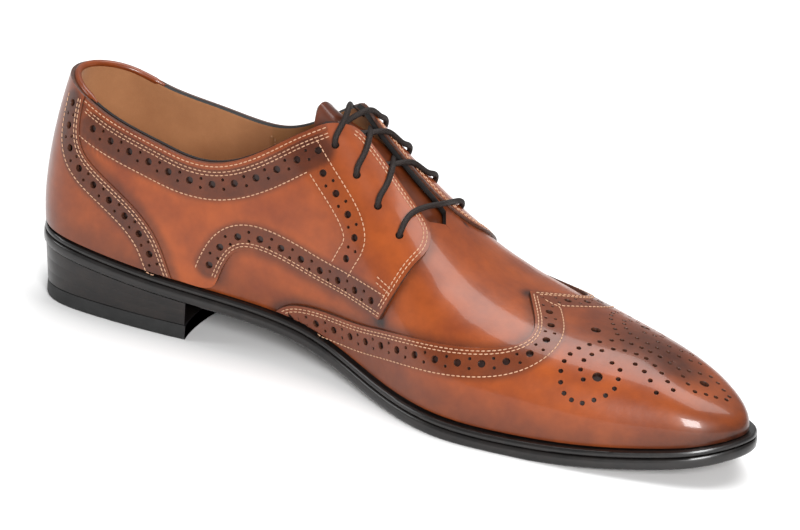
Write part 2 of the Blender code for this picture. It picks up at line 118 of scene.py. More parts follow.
# The height of the feather line: x over the length, then shares of the heel's rise and the toe spring
SEAT = (
    (0.000, 1.000, 0.000),
    (0.026, 0.965, 0.000),
    (0.105, 0.850, 0.000),
    (0.210, 0.725, 0.000),
    (0.311, 0.620, 0.000),
    (0.416, 0.405, 0.000),
    (0.518, 0.130, 0.000),
    (0.623, 0.020, 0.000),
    (0.728, 0.000, 0.000),
    (0.823, 0.000, 0.140),
    (0.908, 0.000, 0.420),
    (0.972, 0.000, 0.780),
    (1.000, 0.000, 1.000),
)

# Per station: welt, ridge x, y and rise, then the low handle out and up, and the high one out and down
SECTIONS = (
    (0.000, 0.375, 0.111, 0.000, 1.290, 0.052, 0.394, 0.193, 0.093),
    (0.060, 0.375, 0.118, 0.000, 1.300, 0.045, 0.394, 0.160, 0.093),
    (0.140, 0.375, 0.138, 0.000, 1.320, 0.032, 0.394, 0.150, 0.070),
    (0.240, 0.400, 0.216, 0.000, 1.322, 0.046, 0.394, 0.188, 0.035),
    (0.340, 0.500, 0.311, 0.000, 1.211, 0.046, 0.394, 0.193, 0.000),
    (0.440, 0.625, 0.416, 0.000, 1.000, 0.051, 0.371, 0.222, 0.000),
    (0.540, 0.750, 0.518, 0.000, 0.752, 0.048, 0.348, 0.275, 0.000),
    (0.640, 0.875, 0.623, 0.000, 0.527, 0.042, 0.301, 0.343, 0.000),
    (0.740, 1.000, 0.721, -0.010, 0.430, 0.025, 0.255, 0.353, 0.000),
    (0.830, 1.000, 0.800, -0.024, 0.374, 0.025, 0.200, 0.295, 0.006),
    (0.910, 1.000, 0.852, -0.039, 0.312, 0.018, 0.162, 0.227, 0.026),
    (0.965, 1.000, 0.872, -0.048, 0.243, 0.014, 0.133, 0.206, 0.060),
    (1.000, 1.000, 0.878, -0.052, 0.205, 0.010, 0.116, 0.193, 0.074),
)

# The collar's height along each side above the back of the feather line, over its rise there
COLLAR = (
    (0.000, 1.000),
    (0.060, 0.965),
    (0.140, 0.850),
    (0.220, 0.768),
    (0.300, 0.730),
    (0.360, 0.868),
    (0.400, 1.015),
    (0.425, 1.090),
)

# The throat's edge in the wall, from the collar's front to the point where the vamp closes
THROAT = (
    (0.425, 0.760),
    (0.440, 0.825),
    (0.458, 0.880),
    (0.480, 0.905),
    (0.520, 0.905),
    (0.550, 0.895),
    (0.566, 0.915),
    (0.578, 1.000),
)


class Side(Enum):
    """The two sides of the shoe, with the sign of w on each."""

    MEDIAL = -1
    LATERAL = 1


class Slot(Enum):
    """The record's material slots."""

    UPPER = "upper"
    OVERLAY = "overlay"
    LINING = "lining"
    SOLE = "sole"
    HEEL = "heel"
    TOP_PIECE = "top_piece"
    LACE = "lace"


# The counter's front edge, from the feather line to the collar
COUNTER_EDGE = (
    (0.256, 0.012), (0.245, 0.080), (0.225, 0.155), (0.196, 0.205),
    (0.153, 0.250), (0.115, 0.292), (0.094, 0.360), (0.088, 0.430),
)

# The quarter's lower edge, from the counter over the arch to its front corner
ARCH_EDGE = {
    Side.MEDIAL: (
        (0.264, 0.012), (0.300, 0.012), (0.318, 0.060), (0.330, 0.140), (0.355, 0.192),
        (0.398, 0.200), (0.437, 0.202), (0.485, 0.228), (0.545, 0.268),
    ),
    Side.LATERAL: (
        (0.264, 0.012), (0.292, 0.012), (0.308, 0.070), (0.338, 0.150), (0.370, 0.195),
        (0.403, 0.227), (0.440, 0.258), (0.500, 0.312), (0.577, 0.360),
    ),
}

# The quarter's front edge, from that corner up round the facing to the top of the throat
FACING_EDGE = {
    Side.MEDIAL: (
        (0.545, 0.268), (0.561, 0.430), (0.576, 0.650), (0.581, 0.757), (0.575, 0.847),
        (0.557, 0.893), (0.525, 0.908), (0.490, 0.914), (0.468, 0.905), (0.453, 0.873),
    ),
    Side.LATERAL: (
        (0.577, 0.360), (0.593, 0.553), (0.595, 0.707), (0.587, 0.800), (0.568, 0.857),
        (0.545, 0.890), (0.515, 0.908), (0.490, 0.914), (0.468, 0.905), (0.453, 0.873),
    ),
}

# The wing cap's edge, from its tail at the feather line up to the peak on the ridge
WING_EDGE = {
    Side.MEDIAL: (
        (0.393, 0.012), (0.408, 0.055), (0.455, 0.110), (0.500, 0.158), (0.545, 0.228),
        (0.628, 0.375), (0.698, 0.515), (0.730, 0.635), (0.735, 0.770), (0.716, 0.900),
        (0.694, 1.000),
    ),
    Side.LATERAL: (
        (0.393, 0.012), (0.412, 0.095), (0.450, 0.160), (0.500, 0.232), (0.570, 0.340),
        (0.635, 0.440), (0.687, 0.525), (0.725, 0.625), (0.740, 0.770), (0.720, 0.900),
        (0.694, 1.000),
    ),
}

# The eyelets, from the collar down
EYELETS = {
    Side.MEDIAL: ((0.443, 0.713), (0.477, 0.703), (0.512, 0.692), (0.547, 0.686)),
    Side.LATERAL: ((0.455, 0.740), (0.489, 0.740), (0.525, 0.730), (0.560, 0.718)),
}

# The tongue, from its rounded top down to its seam under the vamp, with t of its edges
TONGUE = (
    (0.407, 0.800), (0.411, 0.720), (0.422, 0.660), (0.445, 0.640),
    (0.480, 0.660), (0.520, 0.700), (0.560, 0.750), (0.595, 0.800),
)

# The facing band's centre line, from the collar band down to the arch
FACING_BAND = {
    Side.MEDIAL: ((0.408, 0.610), (0.440, 0.570), (0.474, 0.535), (0.492, 0.480), (0.488, 0.400), (0.474, 0.285)),
    Side.LATERAL: ((0.408, 0.640), (0.440, 0.610), (0.476, 0.585), (0.500, 0.540), (0.500, 0.470), (0.488, 0.375)),
}

# Half of the toe's medallion in plan, in millimetres: x, then the distance from its axis
HORN_OUTER = (
    (95.3, 0.0), (92.4, 2.9), (89.8, 6.5), (87.1, 10.4), (84.7, 14.4), (83.0, 18.6), (82.2, 22.2),
    (82.6, 25.6), (84.0, 28.2), (86.9, 29.6), (90.4, 29.6), (94.1, 29.0), (97.6, 27.4), (100.9, 25.2),
    (103.2, 22.4), (103.5, 19.2), (101.9, 16.0), (98.6, 14.6),
)
HORN_INNER = (
    (91.6, 24.6), (89.6, 22.3), (88.9, 18.6), (90.3, 14.8), (92.6, 11.0), (95.8, 7.6), (99.5, 5.9),
    (103.6, 5.2), (107.6, 5.1), (111.8, 6.4), (115.5, 8.3), (119.1, 10.9), (122.2, 13.2),
)
SHORT_RAY = ((105.6, 10.6), (109.9, 12.0), (113.9, 14.1), (117.3, 17.3))
MIDDLE_ROW = ((99.4, 0.0), (103.3, 0.0), (107.2, 0.0), (111.2, 0.0), (115.0, 0.0), (118.6, 0.0))
FRONT_DROP = ((121.9, 2.9), (125.2, 5.9), (128.8, 8.0), (132.4, 6.3), (135.8, 4.2), (139.0, 1.8))
MEDALLION_BIG = ((84.9, 0.0), (129.3, 0.0), (96.4, 21.8))
MEDALLION_AXIS_Y = -12.2


def smoothstep(value: np.ndarray, start: float, end: float) -> np.ndarray:
    """Returns the smooth share of the way from start to end."""
    share = np.clip((value - start) / (end - start), 0.0, 1.0)
    return share * share * (3.0 - 2.0 * share)


def unit(vectors: np.ndarray) -> np.ndarray:
    """Returns the vectors at length one."""
    return vectors / np.maximum(np.linalg.norm(vectors, axis=-1, keepdims=True), 1e-12)


def cubic_spline(
    knots: Sequence[float], values: np.ndarray, closed: bool = False
) -> Callable[[np.ndarray], np.ndarray]:
    """Makes the cubic spline through the values.

    Args:
        knots: where each value stands.
        values: one row per knot.
        closed: whether the spline repeats. An open one ends straight.

    Returns:
        A function of the place.
    """
    knots = np.asarray(knots, float)
    values = np.asarray(values, float).reshape(len(knots), -1)
    steps = np.diff(knots)
    slopes = np.diff(values, axis=0) / steps[:, None]
    count = len(knots) - 1 if closed else len(knots)
    matrix = np.eye(count)
    bends = np.zeros((count, values.shape[1]))
    for i in range(0 if closed else 1, count if closed else count - 1):
        matrix[i, i] = 2.0 * (steps[i - 1] + steps[i])
        matrix[i, (i - 1) % count] += steps[i - 1]
        matrix[i, (i + 1) % count] += steps[i]
        bends[i] = 6.0 * (slopes[i] - slopes[i - 1])
    curvature = np.linalg.solve(matrix, bends)
    if closed:
        curvature = np.concatenate([curvature, curvature[:1]])

    def value_at(place: np.ndarray) -> np.ndarray:
        """Returns the spline's values at the places."""
        place = np.asarray(place, float)
        i = np.clip(np.searchsorted(knots, place, side="right") - 1, 0, len(steps) - 1)
        step = steps[i][..., None]
        after = (place[..., None] - knots[i][..., None]) / step
        before = 1.0 - after
        bend = (before**3 - before) * curvature[i] + (after**3 - after) * curvature[i + 1]
        return before * values[i] + after * values[i + 1] + bend * step**2 / 6.0

    return value_at


@dataclass(frozen=True)
class Crease:
    """A soft fold in the leather, between two places on one side of the last."""

    start: Place
    end: Place
    depth: float
    width: float


# The leather's main folds, behind the toe and in the quarters
CREASES = (
    Crease((-0.615, 0.62), (-0.645, 0.98), 0.00022, 0.0050),
    Crease((-0.650, 0.60), (-0.672, 0.96), 0.00016, 0.0042),
    Crease((0.615, 0.62), (0.645, 0.98), 0.00022, 0.0050),
    Crease((0.660, 0.60), (0.675, 0.96), 0.00016, 0.0042),
    Crease((-0.250, 0.22), (-0.330, 0.40), 0.00030, 0.0060),
    Crease((-0.360, 0.33), (-0.400, 0.52), 0.00024, 0.0050),
    Crease((0.250, 0.22), (0.330, 0.40), 0.00030, 0.0060),
    Crease((0.360, 0.33), (0.400, 0.52), 0.00024, 0.0050),
)


@dataclass
class Last:
    """The surface that every piece of the upper is read from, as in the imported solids."""

    metres_per_w: float = 0.33
    metres_per_t: float = 0.10
    outline_at: Callable = field(init=False)
    section_at: Callable = field(init=False)
    collar_at: Callable = field(init=False)
    seat_at: Callable = field(init=False)
    centre: np.ndarray = field(init=False)
    tree: KDTree = field(init=False)
    tree_places: np.ndarray = field(init=False)

    def __post_init__(self) -> None:
        """Makes the splines, and a tree of places for finding a point's place."""
        rows = np.asarray(OUTLINE)
        x = (rows[:, 1] - 0.5) * LENGTH
        lateral = np.stack([x, rows[:, 2] * BALL_WIDTH], -1)
        medial = np.stack([x, -rows[:, 3] * BALL_WIDTH], -1)
        places = np.concatenate([-rows[::-1, 0], rows[1:, 0]])
        points = np.concatenate([medial[::-1], lateral[1:]])
        rough = cubic_spline(places, points, closed=True)(np.linspace(-1.0, 1.0, 801))
        self.centre = (rough.min(axis=0) + rough.max(axis=0)) / 2.0
        self.outline_at = cubic_spline(places, points - self.centre, closed=True)
        sections = np.asarray(SECTIONS)
        self.section_at = cubic_spline(
            np.concatenate([-sections[::-1, 0], sections[1:, 0]]),
            np.concatenate([sections[::-1, 1:], sections[1:, 1:]]),
            closed=True,
        )
        collar = np.asarray(COLLAR)
        self.collar_at = cubic_spline(
            np.concatenate([-collar[:0:-1, 0], collar[:, 0]]),
            np.concatenate([collar[:0:-1, 1], collar[:, 1]]),
        )
        self.seat_at = cubic_spline([row[0] for row in SEAT], [row[1:] for row in SEAT])
        w, t = np.meshgrid(np.linspace(-0.9999, 0.9999, 560), np.linspace(0.0, 1.0, 70), indexing="ij")
        self.tree_places = np.stack([w.ravel(), t.ravel()], -1)
        self.tree = KDTree(w.size)
        for i, point in enumerate(self.point(w.ravel(), t.ravel())):
            self.tree.insert(point, i)
        self.tree.balance()

    @staticmethod
    def wrapped(w: np.ndarray) -> np.ndarray:
        """Returns w brought back between -1 and 1, since both ends are the toe's centre."""
        return (np.asarray(w, float) + 1.0) % 2.0 - 1.0

    def outline(self, w: np.ndarray, inset: float | np.ndarray = 0.0) -> tuple[np.ndarray, np.ndarray]:
        """Returns the points of the sole's outline moved inwards, and their outward normals."""
        step = 1e-4
        point = self.outline_at(self.wrapped(w))
        along = self.outline_at(self.wrapped(w + step)) - self.outline_at(self.wrapped(w - step))
        along = unit(along)
        normal = np.stack([-along[..., 1], along[..., 0]], -1)
        return point - normal * np.asarray(inset)[..., None], normal

    def seat_height(self, x: np.ndarray) -> np.ndarray:
        """Returns the height of the welt's top at x."""
        shares = self.seat_at(np.clip((x + self.centre[0]) / LENGTH + 0.5, 0.0, 1.0))
        return STACK_HEIGHT + shares[..., 0] * HEEL_RISE + shares[..., 1] * TOE_SPRING

    def point(self, w: np.ndarray, t: np.ndarray) -> np.ndarray:
        """Returns the bare last's points, each section a cubic curve from the feather line to the ridge."""
        w, t = np.broadcast_arrays(np.asarray(w, float), np.asarray(t, float))
        w = self.wrapped(w)
        welt, ridge_x, ridge_y, rise, low_out, low_up, high_out, high_drop = np.moveaxis(
            self.section_at(w), -1, 0
        )
        foot, normal = self.outline(w, welt * WELT_WIDTH)
        foot = np.concatenate([foot, self.seat_height(foot[..., 0])[..., None]], -1)
        side = np.where(w >= 0.0, 1.0, -1.0)
        across = smoothstep(np.abs(w), 0.10, 0.30) * (1.0 - smoothstep(np.abs(w), 0.80, 1.0))
        out = normal * (1.0 - across)[..., None]
        out[..., 1] += side * across
        out = np.concatenate([unit(out), np.zeros_like(w)[..., None]], -1)
        up = np.array([0.0, 0.0, 1.0])
        ridge = np.stack(
            [
                (ridge_x - 0.5) * LENGTH - self.centre[0],
                ridge_y * BALL_WIDTH - self.centre[1],
                foot[..., 2] + rise * INSTEP_RISE,
            ],
            -1,
        )
        low = foot + out * (low_out * BALL_WIDTH)[..., None] + up * (low_up * INSTEP_RISE)[..., None]
        high = ridge + out * (high_out * BALL_WIDTH)[..., None]
        high -= up * (high_drop * INSTEP_RISE)[..., None]
        t = t[..., None]
        rest = 1.0 - t
        return rest**3 * foot + 3.0 * rest**2 * t * low + 3.0 * rest * t**2 * high + t**3 * ridge

    def normal(self, w: np.ndarray, t: np.ndarray) -> np.ndarray:
        """Returns the bare last's outward normals. Both sides share one along the ridge."""
        w, t = (np.atleast_1d(v) for v in np.broadcast_arrays(np.asarray(w, float), np.asarray(t, float)))
        step = 1e-3

        def one_side(w: np.ndarray, t: np.ndarray) -> np.ndarray:
            """Returns the outward normals on one side's own surface."""
            side = np.where(w >= 0.0, 1.0, -1.0)
            inner = np.clip(np.abs(w), step, 1.0 - step) * side
            along = self.point(inner + step, t) - self.point(inner - step, t)
            upward = self.point(inner, np.minimum(t + step, 1.0)) - self.point(inner, np.maximum(t - step, 0.0))
            return unit(np.cross(upward, along))

        normal = one_side(w, t)
        centre = (t > 1.0 - 2e-3) | (np.abs(w) > 1.0 - 1e-6) | (np.abs(w) < 1e-6)
        if centre.any():
            normal[centre] = unit(normal[centre] + one_side(-w[centre] - 1e-12, t[centre]))
        return normal

    def leather_normal(self, w: np.ndarray, t: np.ndarray) -> np.ndarray:
        """Returns the outward normals of the last with the leather's folds in it."""
        step = 1e-3
        normal = self.normal(w, t)
        w, t = (np.atleast_1d(v) for v in np.broadcast_arrays(np.asarray(w, float), np.asarray(t, float)))
        low, high = np.maximum(t - step, 0.0), np.minimum(t + step, 1.0)
        by_w = (self.point(w + step, t) - self.point(w - step, t)) / (2.0 * step)
        by_t = (self.point(w, high) - self.point(w, low)) / (high - low)[..., None]
        fold_w = (self.fold(w + step, t) - self.fold(w - step, t)) / (2.0 * step)
        fold_t = (self.fold(w, high) - self.fold(w, low)) / (high - low)
        a, b, c = (by_w * by_w).sum(-1), (by_w * by_t).sum(-1), (by_t * by_t).sum(-1)
        even = np.maximum(a * c - b * b, 1e-12)
        slope = by_w * ((c * fold_w - b * fold_t) / even)[..., None]
        slope += by_t * ((a * fold_t - b * fold_w) / even)[..., None]
        return unit(normal + slope)

    def fold(self, w: np.ndarray, t: np.ndarray) -> np.ndarray:
        """Returns how far the folds pull the leather in at each place."""
        total = np.zeros(np.broadcast(w, t).shape)
        place = np.stack(np.broadcast_arrays(w * self.metres_per_w, t * self.metres_per_t), -1)
        scale = np.array([self.metres_per_w, self.metres_per_t])
        for crease in CREASES:
            start = np.asarray(crease.start) * scale
            reach = np.asarray(crease.end) * scale - start
            length = np.linalg.norm(reach)
            along = ((place - start) @ reach) / length**2
            across = np.abs((place - start) @ np.array([-reach[1], reach[0]])) / length
            fade = np.exp(-(((along - 0.5) / 0.42) ** 4))
            valley = np.exp(-((across / crease.width) ** 2))
            ridge = np.exp(-(((across - 1.7 * crease.width) / crease.width) ** 2))
            total += crease.depth * fade * (valley - 0.5 * ridge)
        return total

    def skin(self, w: np.ndarray, t: np.ndarray, out: float | np.ndarray) -> np.ndarray:
        """Returns points that lie out from the folded surface by a distance."""
        shape = np.broadcast(w, t).shape
        out = np.broadcast_to(np.asarray(out, float), shape) - self.fold(w, t)
        return self.point(w, t) + self.normal(w, t).reshape(*shape, 3) * out[..., None]

    def locate(self, points: np.ndarray) -> np.ndarray:
        """Finds the place on the last under each point.

        Args:
            points: one row per point.

        Returns:
            One row of w and t per point.
        """
        found = np.array([self.tree.find(point)[1] for point in points])
        places = self.tree_places[found].copy()
        step = 1e-4
        for _ in range(3):
            w, t = places[:, 0], places[:, 1]
            here = self.point(w, t)
            along = (self.point(w + step, t) - self.point(w - step, t)) / (2.0 * step)
            low = np.maximum(t - step, 0.0)
            high = np.minimum(t + step, 1.0)
            upward = (self.point(w, high) - self.point(w, low)) / (high - low)[:, None]
            gap = points - here
            a, b, c = (along * along).sum(-1), (along * upward).sum(-1), (upward * upward).sum(-1)
            p, q = (along * gap).sum(-1), (upward * gap).sum(-1)
            even = np.maximum(a * c - b * b, 1e-12)
            shift = np.stack([(c * p - b * q) / even, (a * q - b * p) / even], -1)
            places += np.clip(shift, -0.02, 0.02)
            places[:, 1] = np.clip(places[:, 1], 0.0, 1.04)
        over = places[:, 1] > 1.0
        places[over] = places[over] * [-1.0, -1.0] + [0.0, 2.0]
        places[:, 0] = self.wrapped(places[:, 0])
        return places

    def flat(self, places: np.ndarray) -> np.ndarray:
        """Lays places flat, with each section unrolled from the ridge along its own direction.

        Args:
            places: one row of w and t per place.

        Returns:
            One row of plane coordinates per place.
        """
        w, t = places[:, 0], places[:, 1]
        share = np.linspace(0.0, 1.0, 10)
        points = self.point(w[:, None], t[:, None] + (1.0 - t[:, None]) * share[None, :])
        arc = np.linalg.norm(np.diff(points, axis=1), axis=-1).sum(axis=1)
        ridge, foot = self.point(w, np.ones_like(w))[:, :2], self.point(w, np.zeros_like(w))[:, :2]
        return ridge + unit(foot - ridge) * arc[:, None]

    def places_in_plan(self, wanted: np.ndarray) -> list[Place]:
        """Returns the places on the toe that stand over points of the plan."""
        w, t = np.meshgrid(np.linspace(-1.0, 1.0, 601), np.linspace(0.3, 1.0, 221), indexing="ij")
        toe = np.abs(w) > 0.6
        w, t = w[toe], t[toe]
        plan = self.point(w, t)[:, :2]
        best = [int(np.argmin(((plan - point) ** 2).sum(-1))) for point in wanted]
        return [(float(w[i]), float(t[i])) for i in best]

    def share_at_height(self, w: np.ndarray, height: np.ndarray) -> np.ndarray:
        """Returns t where each section reaches a height."""
        shares = np.linspace(0.0, 1.0, 201)
        heights = self.point(np.asarray(w)[:, None], shares[None, :])[..., 2]
        return np.array([np.interp(h, line, shares) for h, line in zip(height, heights)])

    def collar_share(self, w: np.ndarray) -> np.ndarray:
        """Returns t of the collar's edge at w."""
        height = STACK_HEIGHT + HEEL_RISE + self.collar_at(w)[..., 0] * COLLAR_RISE
        return self.share_at_height(w, height)

    def top_share(self, w: np.ndarray) -> np.ndarray:
        """Returns t of the wall's top: the collar, then the throat, then the closed ridge."""
        a = np.abs(w)
        throat = np.asarray(THROAT)
        top = np.interp(a, throat[:, 0], throat[:, 1])
        rear = a < throat[0, 0] - 1e-9
        top[rear] = self.collar_share(w[rear])
        return top


@dataclass
class Line:
    """A line of places over the last, such as a panel's edge or a row of stitches."""

    last: Last
    places: np.ndarray

    @classmethod
    def through(cls, last: Last, rows: Sequence[Place], side: Side | None = None) -> "Line":
        """Makes a smooth line.

        Args:
            last: the surface that it lies on.
            rows: the places that it passes through.
            side: the side that rows of (a, t) belong to, or None where they hold w already.

        Returns:
            The line, with places close together.
        """
        rows = np.asarray(rows, float)
        if side is not None:
            rows = rows * [side.value, 1.0]
        length = np.concatenate([[0.0], np.cumsum(np.linalg.norm(np.diff(rows, axis=0), axis=1))])
        smooth = cubic_spline(length / length[-1], rows)(np.linspace(0.0, 1.0, 400))
        return cls(last, smooth)

    def points(self, out: float = 0.0) -> np.ndarray:
        """Returns the line's points, out from the leather by a distance."""
        return self.last.skin(self.places[:, 0], self.places[:, 1], out)

    def even(self, count: int) -> "Line":
        """Returns the line with its places spread evenly by length."""
        points = self.last.point(self.places[:, 0], self.places[:, 1])
        length = np.concatenate([[0.0], np.cumsum(np.linalg.norm(np.diff(points, axis=0), axis=1))])
        wanted = np.linspace(0.0, length[-1], count)
        places = np.stack([np.interp(wanted, length, self.places[:, i]) for i in range(2)], -1)
        return Line(self.last, places)

    def spaced(self, spacing: float) -> "Line":
        """Returns the line with places about a spacing apart."""
        return self.even(max(int(round(self.length() / spacing)), 1) + 1)

    def length(self) -> float:
        """Returns the line's length."""
        points = self.last.point(self.places[:, 0], self.places[:, 1])
        return float(np.linalg.norm(np.diff(points, axis=0), axis=1).sum())

    def frames(self, out: float = 0.0) -> tuple[np.ndarray, np.ndarray, np.ndarray]:
        """Returns the points, the directions along the line and the outward normals."""
        points = self.points(out)
        along = unit(np.gradient(points, axis=0))
        normal = self.last.normal(self.places[:, 0], self.places[:, 1])
        along = unit(along - normal * (along * normal).sum(-1, keepdims=True))
        return points, along, normal

    def moved(self, distance: float, count: int = 160) -> "Line":
        """Walks the line sideways over the surface.

        Args:
            distance: how far, to the left of the line's own direction where positive.
            count: how many places the new line has.

        Returns:
            The new line, without the places that would cross the ridge.
        """
        line = self.even(count)
        steps = 6
        for _ in range(steps):
            w, t = line.places[:, 0], line.places[:, 1]
            _, along, normal = line.frames()
            aside = np.cross(normal, along) * (distance / steps)
            step = 1e-4
            by_w = (self.last.point(w + step, t) - self.last.point(w - step, t)) / (2.0 * step)
            low, high = np.maximum(t - step, 0.0), np.minimum(t + step, 1.0)
            by_t = (self.last.point(w, high) - self.last.point(w, low)) / (high - low)[:, None]
            a, b, c = (by_w * by_w).sum(-1), (by_w * by_t).sum(-1), (by_t * by_t).sum(-1)
            p, q = (by_w * aside).sum(-1), (by_t * aside).sum(-1)
            even = np.maximum(a * c - b * b, 1e-12)
            places = line.places + np.stack([(c * p - b * q) / even, (a * q - b * p) / even], -1)
            line = Line(self.last, places)
        keep = (line.places[:, 1] < 0.997) & (line.places[:, 1] > 0.004)
        return Line(self.last, line.places[keep])

    def trimmed(self, start: float = 0.0, end: float = 0.0) -> "Line":
        """Returns the line with lengths cut from its start and its end."""
        points = self.last.point(self.places[:, 0], self.places[:, 1])
        length = np.concatenate([[0.0], np.cumsum(np.linalg.norm(np.diff(points, axis=0), axis=1))])
        wanted = np.linspace(start, length[-1] - end, len(length))
        places = np.stack([np.interp(wanted, length, self.places[:, i]) for i in range(2)], -1)
        return Line(self.last, places)

    def distance(self, points: np.ndarray) -> np.ndarray:
        """Returns each point's distance from the line."""
        own = self.even(140).points()
        ahead, behind = own[1:], own[:-1]
        near = (points > own.min(axis=0) - 0.02).all(axis=1) & (points < own.max(axis=0) + 0.02).all(axis=1)
        nearest = np.full(len(points), 0.02)
        close = points[near]
        best = np.full(len(close), 0.02)
        for first, last in zip(behind, ahead):
            way = last - first
            share = np.clip((close - first) @ way / max(way @ way, 1e-12), 0.0, 1.0)
            best = np.minimum(best, np.linalg.norm(close - first - share[:, None] * way, axis=1))
        nearest[near] = best
        return nearest


@contextlib.contextmanager
def editing(piece: bpy.types.Object) -> Iterator[None]:
    """Opens a piece in edit mode with all of it selected, and closes it again."""
    bpy.ops.object.select_all(action="DESELECT")
    piece.select_set(True)
    bpy.context.view_layer.objects.active = piece
    bpy.ops.object.mode_set(mode="EDIT")
    bpy.ops.mesh.select_all(action="SELECT")
    yield
    bpy.ops.object.mode_set(mode="OBJECT")


def coordinates(piece: bpy.types.Object) -> np.ndarray:
    """Returns a piece's vertices."""
    points = np.empty(len(piece.data.vertices) * 3)
    piece.data.vertices.foreach_get("co", points)
    return points.reshape(-1, 3)


def grid_piece(name: str, points: np.ndarray, merge: float = 1e-6) -> bpy.types.Object:
    """Models a sheet from a grid primitive whose vertices are set on a surface.

    Args:
        name: the piece's name.
        points: rows of points.
        merge: how close points are merged.

    Returns:
        The new object, at the origin.
    """
    bpy.ops.object.select_all(action="DESELECT")
    rows, columns = points.shape[:2]
    bpy.ops.mesh.primitive_grid_add(x_subdivisions=columns - 1, y_subdivisions=rows - 1, size=1.0)
    piece = bpy.context.object
    piece.name = name
    piece.data.name = name
    piece.data.vertices.foreach_set("co", np.ascontiguousarray(points, float).ravel())
    piece.data.update()
    with editing(piece):
        bpy.ops.mesh.remove_doubles(threshold=merge)
        bpy.ops.mesh.dissolve_degenerate(threshold=merge)
    return piece


def join(pieces: Sequence[bpy.types.Object], name: str, merge: float = 1e-6) -> bpy.types.Object:
    """Joins pieces into the first one and merges what touches."""
    bpy.ops.object.select_all(action="DESELECT")
    for piece in pieces:
        piece.select_set(True)
    bpy.context.view_layer.objects.active = pieces[0]
    bpy.ops.object.join()
    whole = bpy.context.object
    whole.name = name
    whole.data.name = name
    if merge:
        with editing(whole):
            bpy.ops.mesh.remove_doubles(threshold=merge)
    return whole


def apply_modifier(piece: bpy.types.Object, kind: str, **settings: object) -> None:
    """Adds a modifier of a kind to a piece, with its settings, and applies it."""
    modifier = piece.modifiers.new(kind.title(), kind)
    for key, value in settings.items():
        setattr(modifier, key, value)
    bpy.ops.object.select_all(action="DESELECT")
    piece.select_set(True)
    bpy.context.view_layer.objects.active = piece
    bpy.ops.object.modifier_apply(modifier=modifier.name)


def remove(piece: bpy.types.Object) -> None:
    """Removes an object and its mesh."""
    mesh = piece.data
    bpy.data.objects.remove(piece, do_unlink=True)
    bpy.data.meshes.remove(mesh)


def shade(piece: bpy.types.Object, degrees: float = 38.0) -> None:
    """Smooths a piece's shading, with its sharp corners kept."""
    bpy.ops.object.select_all(action="DESELECT")
    piece.select_set(True)
    bpy.context.view_layer.objects.active = piece
    bpy.ops.object.shade_smooth_by_angle(angle=math.radians(degrees))


def repeated(name: str, unit_piece: bpy.types.Object, frames: np.ndarray) -> bpy.types.Object:
    """Copies one small modelled shape to many places, all in one mesh.

    Args:
        name: the piece's name.
        unit_piece: the modelled shape, which is removed.
        frames: one 3 by 4 matrix per copy.

    Returns:
        The object with every copy.
    """
    base = coordinates(unit_piece)
    faces = [list(polygon.vertices) for polygon in unit_piece.data.polygons]
    count = len(base)
    points = np.einsum("nij,kj->nki", frames[:, :, :3], base) + frames[:, None, :, 3]
    copies = [[corner + i * count for corner in face] for i in range(len(frames)) for face in faces]
    mesh = bpy.data.meshes.new(name)
    mesh.from_pydata(points.reshape(-1, 3).tolist(), [], copies)
    piece = bpy.data.objects.new(name, mesh)
    bpy.context.scene.collection.objects.link(piece)
    remove(unit_piece)
    return piece


